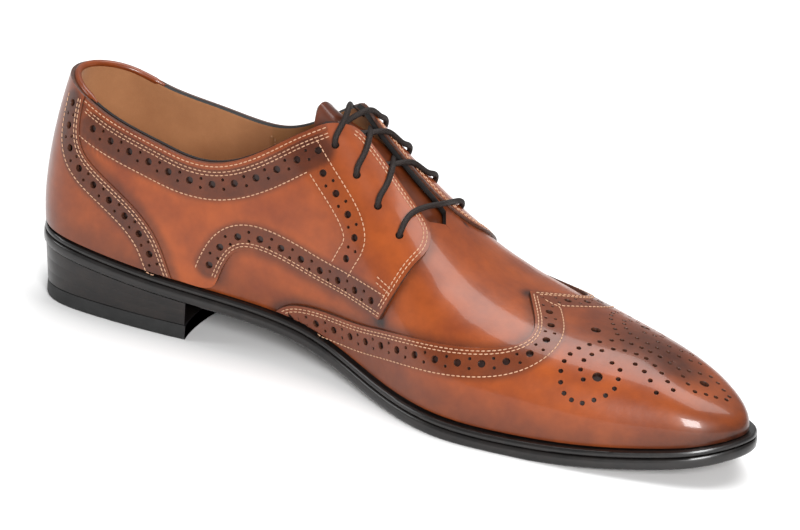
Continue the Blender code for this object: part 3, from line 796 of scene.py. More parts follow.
class Shader:
    """A principled material whose nodes are added one at a time."""

    def __init__(self, name: str) -> None:
        """Starts a material of a name."""
        self.material = bpy.data.materials.new(name)
        self.material.use_nodes = True
        self.tree = self.material.node_tree
        self.principled = self.tree.nodes["Principled BSDF"]
        self.coordinates = self.tree.nodes.new("ShaderNodeTexCoord").outputs["Object"]

    def set(self, **values: object) -> None:
        """Sets values on the shader's own sockets."""
        for key, value in values.items():
            self.principled.inputs[key.replace("_", " ")].default_value = value

    def node(self, kind: str, settings: dict | None = None, **inputs: object) -> bpy.types.Node:
        """Adds a node.

        Args:
            kind: the node's type, without its prefix.
            settings: its own settings.
            **inputs: a value or a socket for each input.

        Returns:
            The node.
        """
        made = self.tree.nodes.new("ShaderNode" + kind)
        for key, value in (settings or {}).items():
            setattr(made, key, value)
        for key, value in inputs.items():
            socket = made.inputs[int(key[1:])] if key[0] == "i" and key[1:].isdigit() else made.inputs[key]
            if isinstance(value, bpy.types.NodeSocket):
                self.tree.links.new(value, socket)
            else:
                socket.default_value = value
        return made

    def noise(self, scale: float, detail: float = 3.0, roughness: float = 0.55) -> bpy.types.NodeSocket:
        """Returns a noise over the piece's own coordinates."""
        return self.node(
            "TexNoise", Vector=self.coordinates, Scale=scale, Detail=detail, Roughness=roughness
        ).outputs["Fac"]

    def math(self, operation: str, first: object, second: object = 0.0) -> bpy.types.NodeSocket:
        """Returns a sum or product of two numbers, held between 0 and 1."""
        return self.node(
            "Math", {"operation": operation, "use_clamp": True}, i0=first, i1=second
        ).outputs[0]

    def span(self, value: object, low: float, high: float) -> bpy.types.NodeSocket:
        """Returns a number stretched from 0 to 1 over a range, into new ends."""
        return self.node("MapRange", i0=value, i1=0.0, i2=1.0, i3=low, i4=high).outputs[0]

    def mix(self, share: object, first: object, second: object) -> bpy.types.NodeSocket:
        """Returns a mix of two colours."""
        made = self.node("Mix", {"data_type": "RGBA"}, i0=share)
        for socket, value in ((made.inputs[6], first), (made.inputs[7], second)):
            if isinstance(value, bpy.types.NodeSocket):
                self.tree.links.new(value, socket)
            else:
                socket.default_value = (*value, 1.0)
        return made.outputs[2]

    def bump(self, height: object, strength: float, distance: float, under: object = None) -> bpy.types.NodeSocket:
        """Returns a bumped normal, over another one where it is given."""
        made = self.node("Bump", Strength=strength, Distance=distance, Height=height)
        if under is not None:
            self.tree.links.new(under, made.inputs["Normal"])
        return made.outputs["Normal"]

    def finish(self, colour: object = None, roughness: object = None, normal: object = None) -> bpy.types.Material:
        """Joins what is given to the shader and returns the material."""
        for key, value in (("Base Color", colour), ("Roughness", roughness), ("Normal", normal)):
            if value is not None:
                self.tree.links.new(value, self.principled.inputs[key])
        return self.material


@dataclass(frozen=True)
class CalfFinish:
    """Polished calf leather, darkened where the piece's attribute says, which holds real burnish and painted shade."""

    name: str = "burnished_calf"
    light: Colour = (0.300, 0.060, 0.0075)
    warm: Colour = (0.150, 0.025, 0.0040)
    dark: Colour = (0.014, 0.0034, 0.0016)
    roughness: float = 0.38
    coat: float = 0.34
    coat_roughness: float = 0.10

    def material(self) -> bpy.types.Material:
        """Builds the material."""
        shader = Shader(self.name)
        burnish = shader.node("Attribute", {"attribute_name": "burnish"}).outputs["Fac"]
        cloud = shader.noise(42.0, 4.0, 0.6)
        mottle = shader.noise(210.0, 3.0, 0.6)
        base = shader.mix(shader.span(cloud, -0.6, 1.5), self.light, self.warm)
        depth = shader.math("ADD", burnish, shader.span(mottle, -0.16, 0.16))
        colour = shader.mix(depth, base, self.dark)
        pores = shader.node(
            "TexVoronoi", {"feature": "F1"}, Vector=shader.coordinates, Scale=1500.0
        ).outputs["Distance"]
        grain = shader.noise(620.0, 4.0, 0.65)
        height = shader.math("ADD", shader.math("MULTIPLY", pores, 0.35), shader.math("MULTIPLY", grain, 0.5))
        normal = shader.bump(height, 0.22, 0.00012)
        normal = shader.bump(shader.noise(95.0, 3.0), 0.25, 0.0006, normal)
        roughness = shader.span(shader.noise(120.0, 3.0), self.roughness - 0.07, self.roughness + 0.09)
        shader.set(
            Coat_Weight=self.coat, Coat_Roughness=self.coat_roughness, Coat_IOR=1.5, Specular_IOR_Level=0.28
        )
        return shader.finish(colour, roughness, normal)


@dataclass(frozen=True)
class CutEdgeFinish:
    """The stained cut edge of a leather panel, and the wall of a punched hole."""

    name: str = "stained_edge"
    colour: Colour = (0.030, 0.010, 0.006)
    worn: Colour = (0.120, 0.040, 0.018)
    roughness: float = 0.45

    def material(self) -> bpy.types.Material:
        """Builds the material."""
        shader = Shader(self.name)
        colour = shader.mix(shader.span(shader.noise(900.0, 3.0), -0.5, 1.2), self.colour, self.worn)
        normal = shader.bump(shader.noise(1800.0, 3.0), 0.4, 0.0001)
        roughness = shader.span(shader.noise(500.0), self.roughness - 0.1, self.roughness + 0.1)
        return shader.finish(colour, roughness, normal)


@dataclass(frozen=True)
class LiningFinish:
    """Lining leather, napped at the heel or smooth."""

    name: str = "heel_lining"
    light: Colour = (0.440, 0.205, 0.085)
    dark: Colour = (0.300, 0.125, 0.048)
    roughness: float = 0.80
    nap: float = 0.5

    def material(self) -> bpy.types.Material:
        """Builds the material."""
        shader = Shader(self.name)
        cloud = shader.noise(70.0, 5.0, 0.65)
        colour = shader.mix(shader.span(cloud, -0.3, 1.3), self.light, self.dark)
        fibre = shader.noise(1400.0, 4.0, 0.7)
        colour = shader.mix(shader.span(fibre, 0.0, 0.45), colour, self.dark)
        normal = shader.bump(fibre, 0.5 * self.nap, 0.0003)
        shader.set(Sheen_Weight=0.25 * self.nap, Sheen_Roughness=0.5)
        roughness = shader.span(fibre, self.roughness - 0.08, self.roughness + 0.08)
        return shader.finish(colour, roughness, normal)


@dataclass(frozen=True)
class ThreadFinish:
    """Waxed sewing thread."""

    name: str = "sewing_thread"
    light: Colour = (0.560, 0.340, 0.215)
    dark: Colour = (0.360, 0.180, 0.100)

    def material(self) -> bpy.types.Material:
        """Builds the material."""
        shader = Shader(self.name)
        colour = shader.mix(shader.noise(260.0, 2.0), self.light, self.dark)
        twist = shader.noise(5200.0, 1.0)
        shader.set(Roughness=0.55)
        return shader.finish(colour, None, shader.bump(twist, 0.35, 0.00008))


@dataclass(frozen=True)
class SoleFinish:
    """Blacked and waxed sole leather."""

    name: str = "blacked_sole_edge"
    colour: Colour = (0.004, 0.0035, 0.0035)
    worn: Colour = (0.012, 0.009, 0.008)
    roughness: float = 0.32
    coat: float = 0.35
    layers: float = 0.0

    def material(self) -> bpy.types.Material:
        """Builds the material."""
        shader = Shader(self.name)
        colour = shader.mix(shader.span(shader.noise(160.0, 5.0), -0.6, 1.3), self.colour, self.worn)
        normal = shader.bump(shader.noise(700.0, 4.0), 0.25, 0.00015)
        if self.layers:
            bands = shader.node(
                "TexWave", {"bands_direction": "Z"}, Vector=shader.coordinates, Scale=self.layers,
                Distortion=0.6, Detail=2.0,
            ).outputs["Fac"]
            normal = shader.bump(bands, 0.25, 0.0002, normal)
        roughness = shader.span(shader.noise(260.0), self.roughness - 0.08, self.roughness + 0.12)
        shader.set(Coat_Weight=self.coat, Coat_Roughness=0.18, Specular_IOR_Level=0.3)
        return shader.finish(colour, roughness, normal)


@dataclass(frozen=True)
class LaceFinish:
    """A round waxed lace, braided along its length."""

    name: str = "braided_lace"
    light: Colour = (0.024, 0.012, 0.009)
    dark: Colour = (0.006, 0.003, 0.002)

    def material(self) -> bpy.types.Material:
        """Builds the material."""
        shader = Shader(self.name)
        place = shader.node("UVMap", {"uv_map": "UVMap"}).outputs["UV"]
        heights = []
        for slant in (1.0, -1.0):
            turned = shader.node("Mapping", Vector=place, Rotation=(0.0, 0.0, slant * 0.6)).outputs["Vector"]
            heights.append(
                shader.node("TexWave", Vector=turned, Scale=420.0, Distortion=0.4).outputs["Fac"]
            )
        braid = shader.math("MULTIPLY", heights[0], heights[1])
        colour = shader.mix(braid, self.dark, self.light)
        shader.set(Roughness=0.62, Specular_IOR_Level=0.3)
        return shader.finish(colour, None, shader.bump(braid, 0.6, 0.0002))


@dataclass(frozen=True)
class FloorFinish:
    """A plain pale studio floor."""

    name: str = "pale_floor"
    colour: Colour = (0.90, 0.90, 0.90)

    def material(self) -> bpy.types.Material:
        """Builds the material."""
        shader = Shader(self.name)
        colour = shader.mix(shader.noise(3.0), self.colour, tuple(c * 0.985 for c in self.colour))
        shader.set(Roughness=0.75, Specular_IOR_Level=0.2)
        return shader.finish(colour)


class Finishes:
    """The shoe's materials, each made once."""

    def __init__(self) -> None:
        """Builds every material."""
        self.calf = CalfFinish().material()
        self.edge = CutEdgeFinish().material()
        self.black_edge = SoleFinish("black_collar_edge", roughness=0.6, coat=0.03).material()
        self.heel_lining = LiningFinish().material()
        self.lining = LiningFinish("smooth_lining", (0.40, 0.20, 0.085), (0.28, 0.125, 0.048), 0.55, 0.15).material()
        self.sock = LiningFinish("sock_leather", (0.50, 0.27, 0.12), (0.36, 0.17, 0.07), 0.5, 0.1).material()
        self.thread = ThreadFinish().material()
        self.sole = SoleFinish().material()
        self.sole_bottom = SoleFinish(
            "sole_bottom", (0.030, 0.018, 0.013), (0.085, 0.050, 0.032), 0.5, 0.1
        ).material()
        self.heel = SoleFinish("stacked_heel", (0.005, 0.004, 0.004), (0.016, 0.011, 0.009), 0.36, 0.2).material()
        self.rubber = SoleFinish("heel_rubber", (0.012, 0.012, 0.012), (0.022, 0.022, 0.022), 0.6, 0.0).material()
        self.lace = LaceFinish().material()
        self.floor = FloorFinish().material()


@dataclass(frozen=True)
class Hole:
    """A punched hole, at a place on the last."""

    place: Place
    radius: float


@dataclass
class Brogueing:
    """The punched holes of the bands, and the medallion of the toe."""

    last: Last
    spacing: float = 0.0094
    big: float = 0.00140
    small: float = 0.00058
    pair: float = 0.00180

    def band(self, line: Line) -> list[Hole]:
        """Lays a band's holes along its centre line.

        Args:
            line: the centre line.

        Returns:
            The big holes, with a pair of small ones between each two.
        """
        count = max(int(round(line.length() / self.spacing)), 1)
        at = line.even(2 * count + 1)
        _, along, normal = at.frames()
        points = self.last.point(at.places[:, 0], at.places[:, 1])
        aside = np.cross(normal, along) * self.pair
        beside = [self.last.locate(points + aside * sign) for sign in (1.0, -1.0)]
        holes = []
        for i, place in enumerate(at.places):
            if i % 2 == 0:
                holes.append(Hole(tuple(place), self.big))
            else:
                holes.extend(Hole(tuple(side[i]), self.small) for side in beside)
        return holes

    def medallion(self) -> list[Hole]:
        """Returns the holes of the toe's medallion, the same on both sides of its axis."""
        rows = [(place, 0.00088) for place in (*HORN_OUTER, *HORN_INNER, *SHORT_RAY, *MIDDLE_ROW, *FRONT_DROP)]
        rows += [(place, 0.00185) for place in MEDALLION_BIG]
        points, sizes = [], []
        for (x, aside), radius in rows:
            for sign in (-1.0, 1.0) if aside > 0.0 else (1.0,):
                points.append((x * MM, (MEDALLION_AXIS_Y + sign * aside) * MM))
                sizes.append(radius)
        places = self.last.places_in_plan(np.array(points))
        return [Hole(place, radius) for place, radius in zip(places, sizes)]

    def ring(self, hole: Hole) -> np.ndarray:
        """Returns the places round a hole's rim."""
        sides = 16 if hole.radius > 0.001 else 10
        turn = np.linspace(0.0, 2.0 * math.pi, sides, endpoint=False)
        w, t = np.array([hole.place[0]]), np.array([hole.place[1]])
        normal = self.last.normal(w, t)[0]
        first = unit(np.cross(normal, [0.31, 0.17, 0.93]))
        second = np.cross(normal, first)
        circle = first * np.cos(turn)[:, None] + second * np.sin(turn)[:, None]
        return self.last.locate(self.last.point(w, t)[0] + circle * hole.radius)


def inside_loop(points: np.ndarray, loop: np.ndarray) -> np.ndarray:
    """Returns which points of the plane lie inside a closed loop."""
    x, y = points[:, :1], points[:, 1:]
    x0, y0 = loop[:, 0][None], loop[:, 1][None]
    x1, y1 = np.roll(loop[:, 0], -1)[None], np.roll(loop[:, 1], -1)[None]
    crosses = (y0 > y) != (y1 > y)
    at = x0 + (y - y0) / np.where(y1 == y0, 1.0, y1 - y0) * (x1 - x0)
    return (crosses & (x < at)).sum(axis=1) % 2 == 1


def punched_sheet(
    last: Last, name: str, loop: np.ndarray, inner: np.ndarray, holes: Sequence[Hole], out: float
) -> bpy.types.Object:
    """Models a leather sheet that is cut to a loop and punched, and lies on the last.

    Args:
        last: the surface that it lies on.
        name: the piece's name.
        loop: the places round its edge.
        inner: the places inside it.
        holes: its holes.
        out: how far it lies out from the last.

    Returns:
        The sheet, with every hole's rim as an edge of it.
    """
    brogueing = Brogueing(last)
    rings = [brogueing.ring(hole) for hole in holes]
    flat_loop = last.flat(loop)
    flat_rings = [last.flat(ring) for ring in rings]
    flat_inner = last.flat(inner)
    keep = inside_loop(flat_inner, flat_loop)
    edge = np.concatenate([flat_loop, (flat_loop + np.roll(flat_loop, -1, axis=0)) / 2.0])
    for start in range(0, len(edge), 50):
        gap = np.linalg.norm(flat_inner[:, None] - edge[None, start:start + 50], axis=-1)
        keep &= gap.min(axis=1) > 0.0007
    for hole, ring in zip(holes, flat_rings):
        centre = ring.mean(axis=0)
        keep &= np.linalg.norm(flat_inner - centre, axis=1) > hole.radius + 0.0006
        keep &= ~inside_loop(flat_inner, centre + 1.4 * (ring - centre))
    places = np.concatenate([loop, *rings, inner[keep]])
    plane = np.concatenate([flat_loop, *flat_rings, flat_inner[keep]])
    edges = [(i, (i + 1) % len(loop)) for i in range(len(loop))]
    group = [np.full(len(loop), -1)]
    first = len(loop)
    for index, ring in enumerate(rings):
        edges += [(first + i, first + (i + 1) % len(ring)) for i in range(len(ring))]
        group.append(np.full(len(ring), index))
        first += len(ring)
    group = np.concatenate([*group, np.full(int(keep.sum()), -2)])
    made = delaunay_2d_cdt([Vector(p) for p in plane * 1000.0], edges, [], 0, 1e-5)
    origin = [ids[0] if ids else -1 for ids in made[3]]
    faces = np.array([[origin[corner] for corner in face] for face in made[2]])
    faces = faces[(faces >= 0).all(axis=1)]
    own = group[faces]
    filled = (own[:, 0] >= 0) & (own[:, 0] == own[:, 1]) & (own[:, 1] == own[:, 2])
    faces = faces[~filled & inside_loop(plane[faces].mean(axis=1), flat_loop)]
    points = last.skin(places[:, 0], places[:, 1], out)
    mesh = bpy.data.meshes.new(name)
    mesh.from_pydata(points.tolist(), [], faces.tolist())
    piece = bpy.data.objects.new(name, mesh)
    bpy.context.scene.collection.objects.link(piece)
    with editing(piece):
        bpy.ops.mesh.delete_loose()
        bpy.ops.mesh.select_all(action="SELECT")
        bpy.ops.mesh.normals_make_consistent(inside=False)
    turn_outwards(last, piece)
    return piece


@dataclass
class Stitching:
    """Rows of stitches that stand on a leather face."""

    last: Last
    thread: bpy.types.Material
    pitch: float = 0.0020
    length: float = 0.00158
    radius: float = 0.00025

    def stitch(self) -> bpy.types.Object:
        """Models one stitch, rounded at both ends."""
        bpy.ops.object.select_all(action="DESELECT")
        bpy.ops.mesh.primitive_uv_sphere_add(segments=6, ring_count=4, radius=1.0, rotation=(0, math.pi / 2, 0))
        piece = bpy.context.object
        bpy.ops.object.transform_apply(rotation=True)
        with editing(piece):
            bpy.ops.transform.resize(value=(self.length / 2.0, self.radius, self.radius))
        points = coordinates(piece)
        full = np.abs(points[:, 0]) > 0.4 * self.length / 2.0
        points[full, 0] = np.sign(points[full, 0]) * np.maximum(np.abs(points[full, 0]), 0.42 * self.length)
        piece.data.vertices.foreach_set("co", points.ravel())
        return piece

    def sew(self, name: str, lines: Sequence[Line], out: float) -> bpy.types.Object:
        """Sews rows of stitches.

        Args:
            name: the piece's name.
            lines: one line per row.
            out: how far the face lies out from the last.

        Returns:
            The piece that holds every stitch.
        """
        frames = []
        for line in lines:
            at = line.spaced(self.pitch)
            points, along, normal = at.frames(out + 0.25 * self.radius)
            middle = (points[1:] + points[:-1]) / 2.0
            way = unit(points[1:] - points[:-1])
            up = unit(normal[1:] + normal[:-1])
            up = unit(up - way * (up * way).sum(-1, keepdims=True))
            lean = way * 0.995 + up * 0.06
            frames.append(np.stack([lean, np.cross(up, lean), up, middle], -1))
        piece = repeated(name, self.stitch(), np.concatenate(frames))
        shade(piece, 80.0)
        piece.data.materials.append(self.thread)
        return piece


@dataclass
class Panel:
    """A leather overlay that lies on the wall, with its punched holes and edges."""

    last: Last
    finishes: Finishes
    name: str
    node: str
    loop: np.ndarray
    inner: np.ndarray
    holes: list[Hole]
    tone: Callable[[np.ndarray, np.ndarray], np.ndarray]
    out: float = 0.00035
    thick: float = 0.00140
    edge: float = 0.00022

    def build(self) -> bpy.types.Object:
        """Models the panel, punches it and dresses it."""
        piece = punched_sheet(self.last, self.name, self.loop, self.inner, self.holes, self.out)
        apply_modifier(
            piece, "SOLIDIFY", thickness=self.thick, offset=-1.0, use_even_offset=True, use_quality_normals=True
        )
        apply_modifier(
            piece, "BEVEL", width=self.edge, segments=2, limit_method="ANGLE", use_clamp_overlap=False,
            angle_limit=math.radians(55.0),
        )
        dress_leather(self.last, piece, self.out, self.tone, self.finishes)
        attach(piece, BODY)
        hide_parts(self.node)
        return piece


def turn_outwards(last: Last, piece: bpy.types.Object) -> None:
    """Turns a sheet's faces away from the last."""
    mesh = piece.data
    count = len(mesh.polygons)
    centres, normals = np.empty(count * 3), np.empty(count * 3)
    mesh.polygons.foreach_get("center", centres)
    mesh.polygons.foreach_get("normal", normals)
    some = slice(None, None, max(count // 400, 1))
    centres, normals = centres.reshape(-1, 3)[some], normals.reshape(-1, 3)[some]
    places = last.locate(centres)
    outward = last.normal(places[:, 0], places[:, 1])
    if (outward * normals).sum() < 0.0:
        with editing(piece):
            bpy.ops.mesh.flip_normals()


def set_attribute(piece: bpy.types.Object, name: str, values: np.ndarray) -> None:
    """Stores one number per vertex on a piece."""
    made = piece.data.attributes.new(name, "FLOAT", "POINT")
    made.data.foreach_set("value", np.ascontiguousarray(values, np.float32))


def dress_leather(
    last: Last,
    piece: bpy.types.Object,
    out: float,
    tone: Callable[[np.ndarray, np.ndarray], np.ndarray],
    finishes: Finishes,
    inside: Sequence[bpy.types.Material] = (),
    pick_inside: Callable[[np.ndarray, np.ndarray], np.ndarray] | None = None,
) -> None:
    """Gives a leather piece its materials, its burnish and painted shade, and clean shading on its outer face.

    Args:
        last: the surface that it lies on.
        piece: the closed piece.
        out: how far its outer face lies out from the last.
        tone: the burnish and painted shade at each place and point.
        finishes: the materials.
        inside: materials for the inner face, where it isn't leather.
        pick_inside: which of them each inner face has, from its place and centre.
    """
    mesh = piece.data
    points = coordinates(piece)
    places = last.locate(points)
    # Stores each place's tone, real burnish and painted shade alike, as the vertex attribute that the calf material
    # darkens by.
    set_attribute(piece, "burnish", np.clip(tone(places, points), 0.0, 1.0))
    shade(piece)
    outward = last.leather_normal(places[:, 0], places[:, 1])
    count = len(mesh.polygons)
    normals, centres = np.empty(count * 3), np.empty(count * 3)
    mesh.polygons.foreach_get("normal", normals)
    mesh.polygons.foreach_get("center", centres)
    normals, centres = normals.reshape(-1, 3), centres.reshape(-1, 3)
    loops = np.empty(len(mesh.loops), int)
    mesh.loops.foreach_get("vertex_index", loops)
    starts, totals = np.empty(count, int), np.empty(count, int)
    mesh.polygons.foreach_get("loop_start", starts)
    mesh.polygons.foreach_get("loop_total", totals)
    face_of_loop = np.repeat(np.arange(count), totals)
    mean = np.zeros((count, 3))
    np.add.at(mean, face_of_loop, outward[loops])
    facing = (unit(mean) * normals).sum(-1)
    for material in (finishes.calf, finishes.edge, *inside):
        mesh.materials.append(material)
    looks = np.where(facing > 0.55, 0, 1)
    if inside:
        inner = facing < -0.5
        looks[inner] = 2 + (pick_inside(last.locate(centres[inner]), centres[inner]) if pick_inside else 0)
    mesh.polygons.foreach_set("material_index", looks)
    flat = facing > 0.9
    custom = np.where(flat[face_of_loop][:, None], outward[loops], 0.0)
    mesh.normals_split_custom_set(custom.tolist())
    mesh.update()


def coons_patch(bottom: np.ndarray, top: np.ndarray, left: np.ndarray, right: np.ndarray) -> np.ndarray:
    """Returns the grid between four edge lines that meet at their ends."""
    u = np.linspace(0.0, 1.0, len(bottom))[:, None, None]
    v = np.linspace(0.0, 1.0, len(left))[None, :, None]
    corners = (
        (1 - u) * (1 - v) * bottom[0] + u * (1 - v) * bottom[-1] + (1 - u) * v * top[0] + u * v * top[-1]
    )
    return (1 - v) * bottom[:, None] + v * top[:, None] + (1 - u) * left[None] + u * right[None] - corners


def rim_and_inside(grid: np.ndarray) -> tuple[np.ndarray, np.ndarray]:
    """Returns the places round a grid's rim, and those inside it."""
    rim = np.concatenate([grid[:-1, 0], grid[-1, :-1], grid[:0:-1, -1], grid[0, :0:-1]])
    return rim, grid[1:-1, 1:-1].reshape(-1, 2)


def resample(rows: Sequence[Place], count: int) -> np.ndarray:
    """Returns places spread evenly along a smooth line through the rows."""
    rows = np.asarray(rows, float)
    length = np.concatenate([[0.0], np.cumsum(np.linalg.norm(np.diff(rows, axis=0), axis=1))])
    return cubic_spline(length / length[-1], rows)(np.linspace(0.0, 1.0, count + 1))


@dataclass
class Upper:
    """The whole upper: its wall and lining, its overlays with their brogueing, and its seams."""

    last: Last
    finishes: Finishes
    collar_margin: float = 0.0025
    seam_lap: float = 0.012
    row_gap: float = 0.0014
    lines: dict = field(init=False)

    def __post_init__(self) -> None:
        """Lays out the lines of every seam and band."""
        last = self.last
        self.lines = {}
        for side in Side:
            self.lines["wing", side] = Line.through(last, WING_EDGE[side], side)
            self.lines["arch", side] = Line.through(last, ARCH_EDGE[side][2:], side)
            self.lines["facing", side] = Line.through(last, FACING_EDGE[side], side)
            self.lines["counter", side] = Line.through(last, COUNTER_EDGE, side)
            a = np.linspace(0.092, 0.425, 120)
            top = last.collar_share(side.value * a)
            self.lines["collar", side] = Line(last, np.stack([side.value * a, top], -1))
            self.lines["band", side] = Line.through(last, FACING_BAND[side], side)

    def beside(self, name: str, side: Side, distance: float) -> Line:
        """Returns a line that runs beside a seam, inside its panel, at a distance from it."""
        left = {"wing": -1.0, "arch": 1.0, "facing": 1.0, "counter": 1.0, "collar": -1.0, "band": 1.0}
        return self.lines[name, side].moved(distance * left[name] * -side.value)

    def band_tone(self, lines: Sequence[Line], reach: float, points: np.ndarray) -> np.ndarray:
        """Returns how dark the bands make each point."""
        tone = np.zeros(len(points))
        for line in lines:
            tone = np.maximum(tone, 1.0 - smoothstep(line.distance(points), reach, reach + 0.0035))
        return tone

    def stations(self) -> np.ndarray:
        """Returns the places of the wall's stations on one side."""
        runs = ((0.100, 20), (0.200, 16), (0.425, 34), (0.578, 26), (0.860, 40), (1.000, 40))
        places = [np.zeros(1)]
        for end, count in runs:
            places.append(np.linspace(places[-1][-1], end, count + 1)[1:])
        return np.concatenate(places)

    def build_wall(self) -> None:
        """Models the vamp and the quarter lining as one wall, open at the collar and the throat."""
        last = self.last
        a = self.stations()
        w = np.concatenate([-a[::-1], a[1:]])
        share = np.linspace(0.0, 1.0, 57)
        t = last.top_share(w)[:, None] * share[None, :]
        points = last.skin(np.repeat(w[:, None], len(share), 1), t, -WALL_SET)
        points[:, 0, 2] = last.seat_height(points[:, 0, 0]) + GAP
        ridge = np.abs(w) > 0.578
        points[ridge, -1] = 0.5 * (points[ridge, -1] + points[::-1][ridge, -1])
        piece = grid_piece("vamp_and_lining", points, 4e-6)
        turn_outwards(last, piece)
        apply_modifier(piece, "SOLIDIFY", thickness=WALL, offset=-1.0, use_even_offset=True, use_quality_normals=True)
        apply_modifier(piece, "BEVEL", width=0.0003, segments=2, limit_method="ANGLE", angle_limit=math.radians(60.0))
        dress_leather(
            last, piece, -WALL_SET, self.wall_tone, self.finishes,
            (self.finishes.heel_lining, self.finishes.lining), self.pick_lining,
        )
        mesh = piece.data
        mesh.materials.append(self.finishes.black_edge)
        count = len(mesh.polygons)
        centres, looks = np.empty(count * 3), np.empty(count, int)
        mesh.polygons.foreach_get("center", centres)
        mesh.polygons.foreach_get("material_index", looks)
        places = last.locate(centres.reshape(-1, 3))
        looks[(looks == 1) & (places[:, 1] > 0.3)] = len(mesh.materials) - 1
        mesh.polygons.foreach_set("material_index", looks)
        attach(piece, BODY)
        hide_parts("upper")

    def wall_tone(self, places: np.ndarray, points: np.ndarray) -> np.ndarray:
        """Returns the wall's tone: painted shade darker towards the welt, darker beside the seams, and painted shade,
        fully dark, under the overlays, where it shows through their punched holes.
        """
        tone = np.full(len(points), 0.10)
        # Painted shade, darker towards the welt.
        tone += 0.30 * (1.0 - smoothstep(places[:, 1], 0.02, 0.16))
        for side in Side:
            for name in ("wing", "facing", "arch"):
                near = self.lines[name, side].distance(points)
                tone += 0.42 * (1.0 - smoothstep(near, 0.0006, 0.0050))
        # Painted shade: the wall under the overlays is made fully dark so that their punched holes look deep.
        return np.where(self.covered(places, points), 1.0, tone)

    def covered(self, places: np.ndarray, points: np.ndarray) -> np.ndarray:
        """Returns which places lie well under an overlay."""
        a = np.abs(places[:, 0])
        t = places[:, 1]
        hidden = np.zeros(len(points), bool)
        for side in Side:
            own = places[:, 0] * side.value > 0.0
            wing = np.asarray(WING_EDGE[side])
            order = np.argsort(wing[:, 1])
            front = np.interp(t, wing[order, 1], wing[order, 0])
            far = self.lines["wing", side].distance(points) > 0.0022
            hidden |= own & (a > front) & far
            arch = np.asarray(ARCH_EDGE[side])
            low = np.interp(a, arch[:, 0], arch[:, 1])
            facing = np.asarray(FACING_EDGE[side])
            ahead = np.interp(t, facing[:4, 1], facing[:4, 0])
            far = np.minimum(self.lines["arch", side].distance(points), self.lines["facing", side].distance(points))
            hidden |= own & (t > low) & (a < ahead) & (far > 0.0022) & (t < np.where(a < 0.42, 0.97, 0.86))
        return hidden

    def pick_lining(self, places: np.ndarray, centres: np.ndarray) -> np.ndarray:
        """Returns 0 for the heel's napped lining and 1 for the smooth one in front of its seam."""
        return np.where(np.abs(places[:, 0]) > 0.285, 1, 0)

    def build_quarter(self, side: Side) -> None:
        """Models one quarter, from under the counter over the arch to the facing."""
        last = self.last
        columns, rows = 110, 72
        bottom = resample(ARCH_EDGE[side], columns)
        right = resample(FACING_EDGE[side], rows)
        rear = np.asarray(COUNTER_EDGE) - np.array([self.seam_lap, 0.0])
        rear[0] = (bottom[0, 0] - 2.0 * self.seam_lap, bottom[0, 1])
        bottom = resample(((rear[0, 0], bottom[0, 1]), *ARCH_EDGE[side]), columns)
        crest = np.linspace(rear[-1, 0], THROAT[0][0], 24)
        edge = last.collar_share(side.value * crest) - self.collar_margin
        top_line = np.concatenate([np.stack([crest, edge], -1), right[-1:]])
        rear[-1] = top_line[0]
        grid = coons_patch(bottom, resample(top_line, columns), resample(rear, rows), right)
        grid[..., 0] *= side.value
        loop, inner = rim_and_inside(grid)
        holes = [Hole((side.value * a, t), EYELET_RADIUS) for a, t in EYELETS[side]]
        brogueing = Brogueing(last)
        collar = self.beside("collar", side, 0.0088).trimmed(0.009, 0.006)
        arch = self.beside("arch", side, 0.0052).trimmed(0.004, 0.006)
        band = self.lines["band", side].trimmed(0.0132, 0.0085)
        for line in (collar, arch, band):
            holes += brogueing.band(line)

        def tone(places: np.ndarray, points: np.ndarray) -> np.ndarray:
            """Returns the quarter's tone: darker in its bands and beside its edges, and painted shade, fully dark,
            where it lies under the counter and shows through the counter's holes.
            """
            value = np.full(len(points), 0.03)
            value = np.maximum(value, 0.74 * self.band_tone([collar], 0.0048, points))
            value = np.maximum(value, 0.66 * self.band_tone([arch], 0.0040, points))
            value = np.maximum(value, 0.22 * self.band_tone([band], 0.0040, points))
            rear = 1.0 - smoothstep(self.lines["counter", side].distance(points), 0.001, 0.006)
            value = np.maximum(value, 0.55 * rear)
            value += 0.25 * (1.0 - smoothstep(self.lines["facing", side].distance(points), 0.0004, 0.003))
            # Painted shade: the quarter is made fully dark where it lies under the counter, so that the counter's
            # punched holes look deep.
            edge = np.asarray(COUNTER_EDGE)
            behind = np.abs(places[:, 0]) < np.interp(places[:, 1], edge[:, 1], edge[:, 0])
            return np.where(behind & (self.lines["counter", side].distance(points) > 0.0022), 1.0, value)

        name = side.name.lower()
        Panel(last, self.finishes, f"{name}_quarter", f"quarter_{name}", loop, inner, holes, tone).build()
        rows = [self.beside("collar", side, d).trimmed(0.002, e) for d, e in ((0.0040, 0), (0.0053, 0), (0.0147, 0.0128))]
        rows += [self.beside("arch", side, d) for d in (0.0013, 0.0025, 0.0098)]
        rows += [self.beside("facing", side, d).trimmed(0.004, 0.001) for d in (0.0016, 0.0030)]
        front, rear = sorted(
            (self.beside("band", side, d) for d in (-0.0046, 0.0046)), key=lambda row: -np.abs(row.places[:, 0]).mean()
        )
        rows += [front.trimmed(0.001, 0.003), rear.trimmed(0.0105, 0.003)]
        rows += [Line.through(last, ((0.533, t), (0.556, t + 0.010)), side) for t in (0.405, 0.430)]
        self.build_strip(side)
        self.sew(f"{name}_quarter_stitches", rows, 0.00035)

    def build_strip(self, side: Side) -> None:
        """Models the folded strip along the collar's edge."""
        high, low = (self.beside("collar", side, d).even(150).places for d in (0.0006, 0.0030))
        share = np.linspace(0.0, 1.0, 4)[None, :, None]
        grid = high[:, None] * (1.0 - share) + low[:, None] * share

        def tone(places: np.ndarray, points: np.ndarray) -> np.ndarray:
            """Returns the strip's burnish."""
            return np.full(len(points), 0.30)

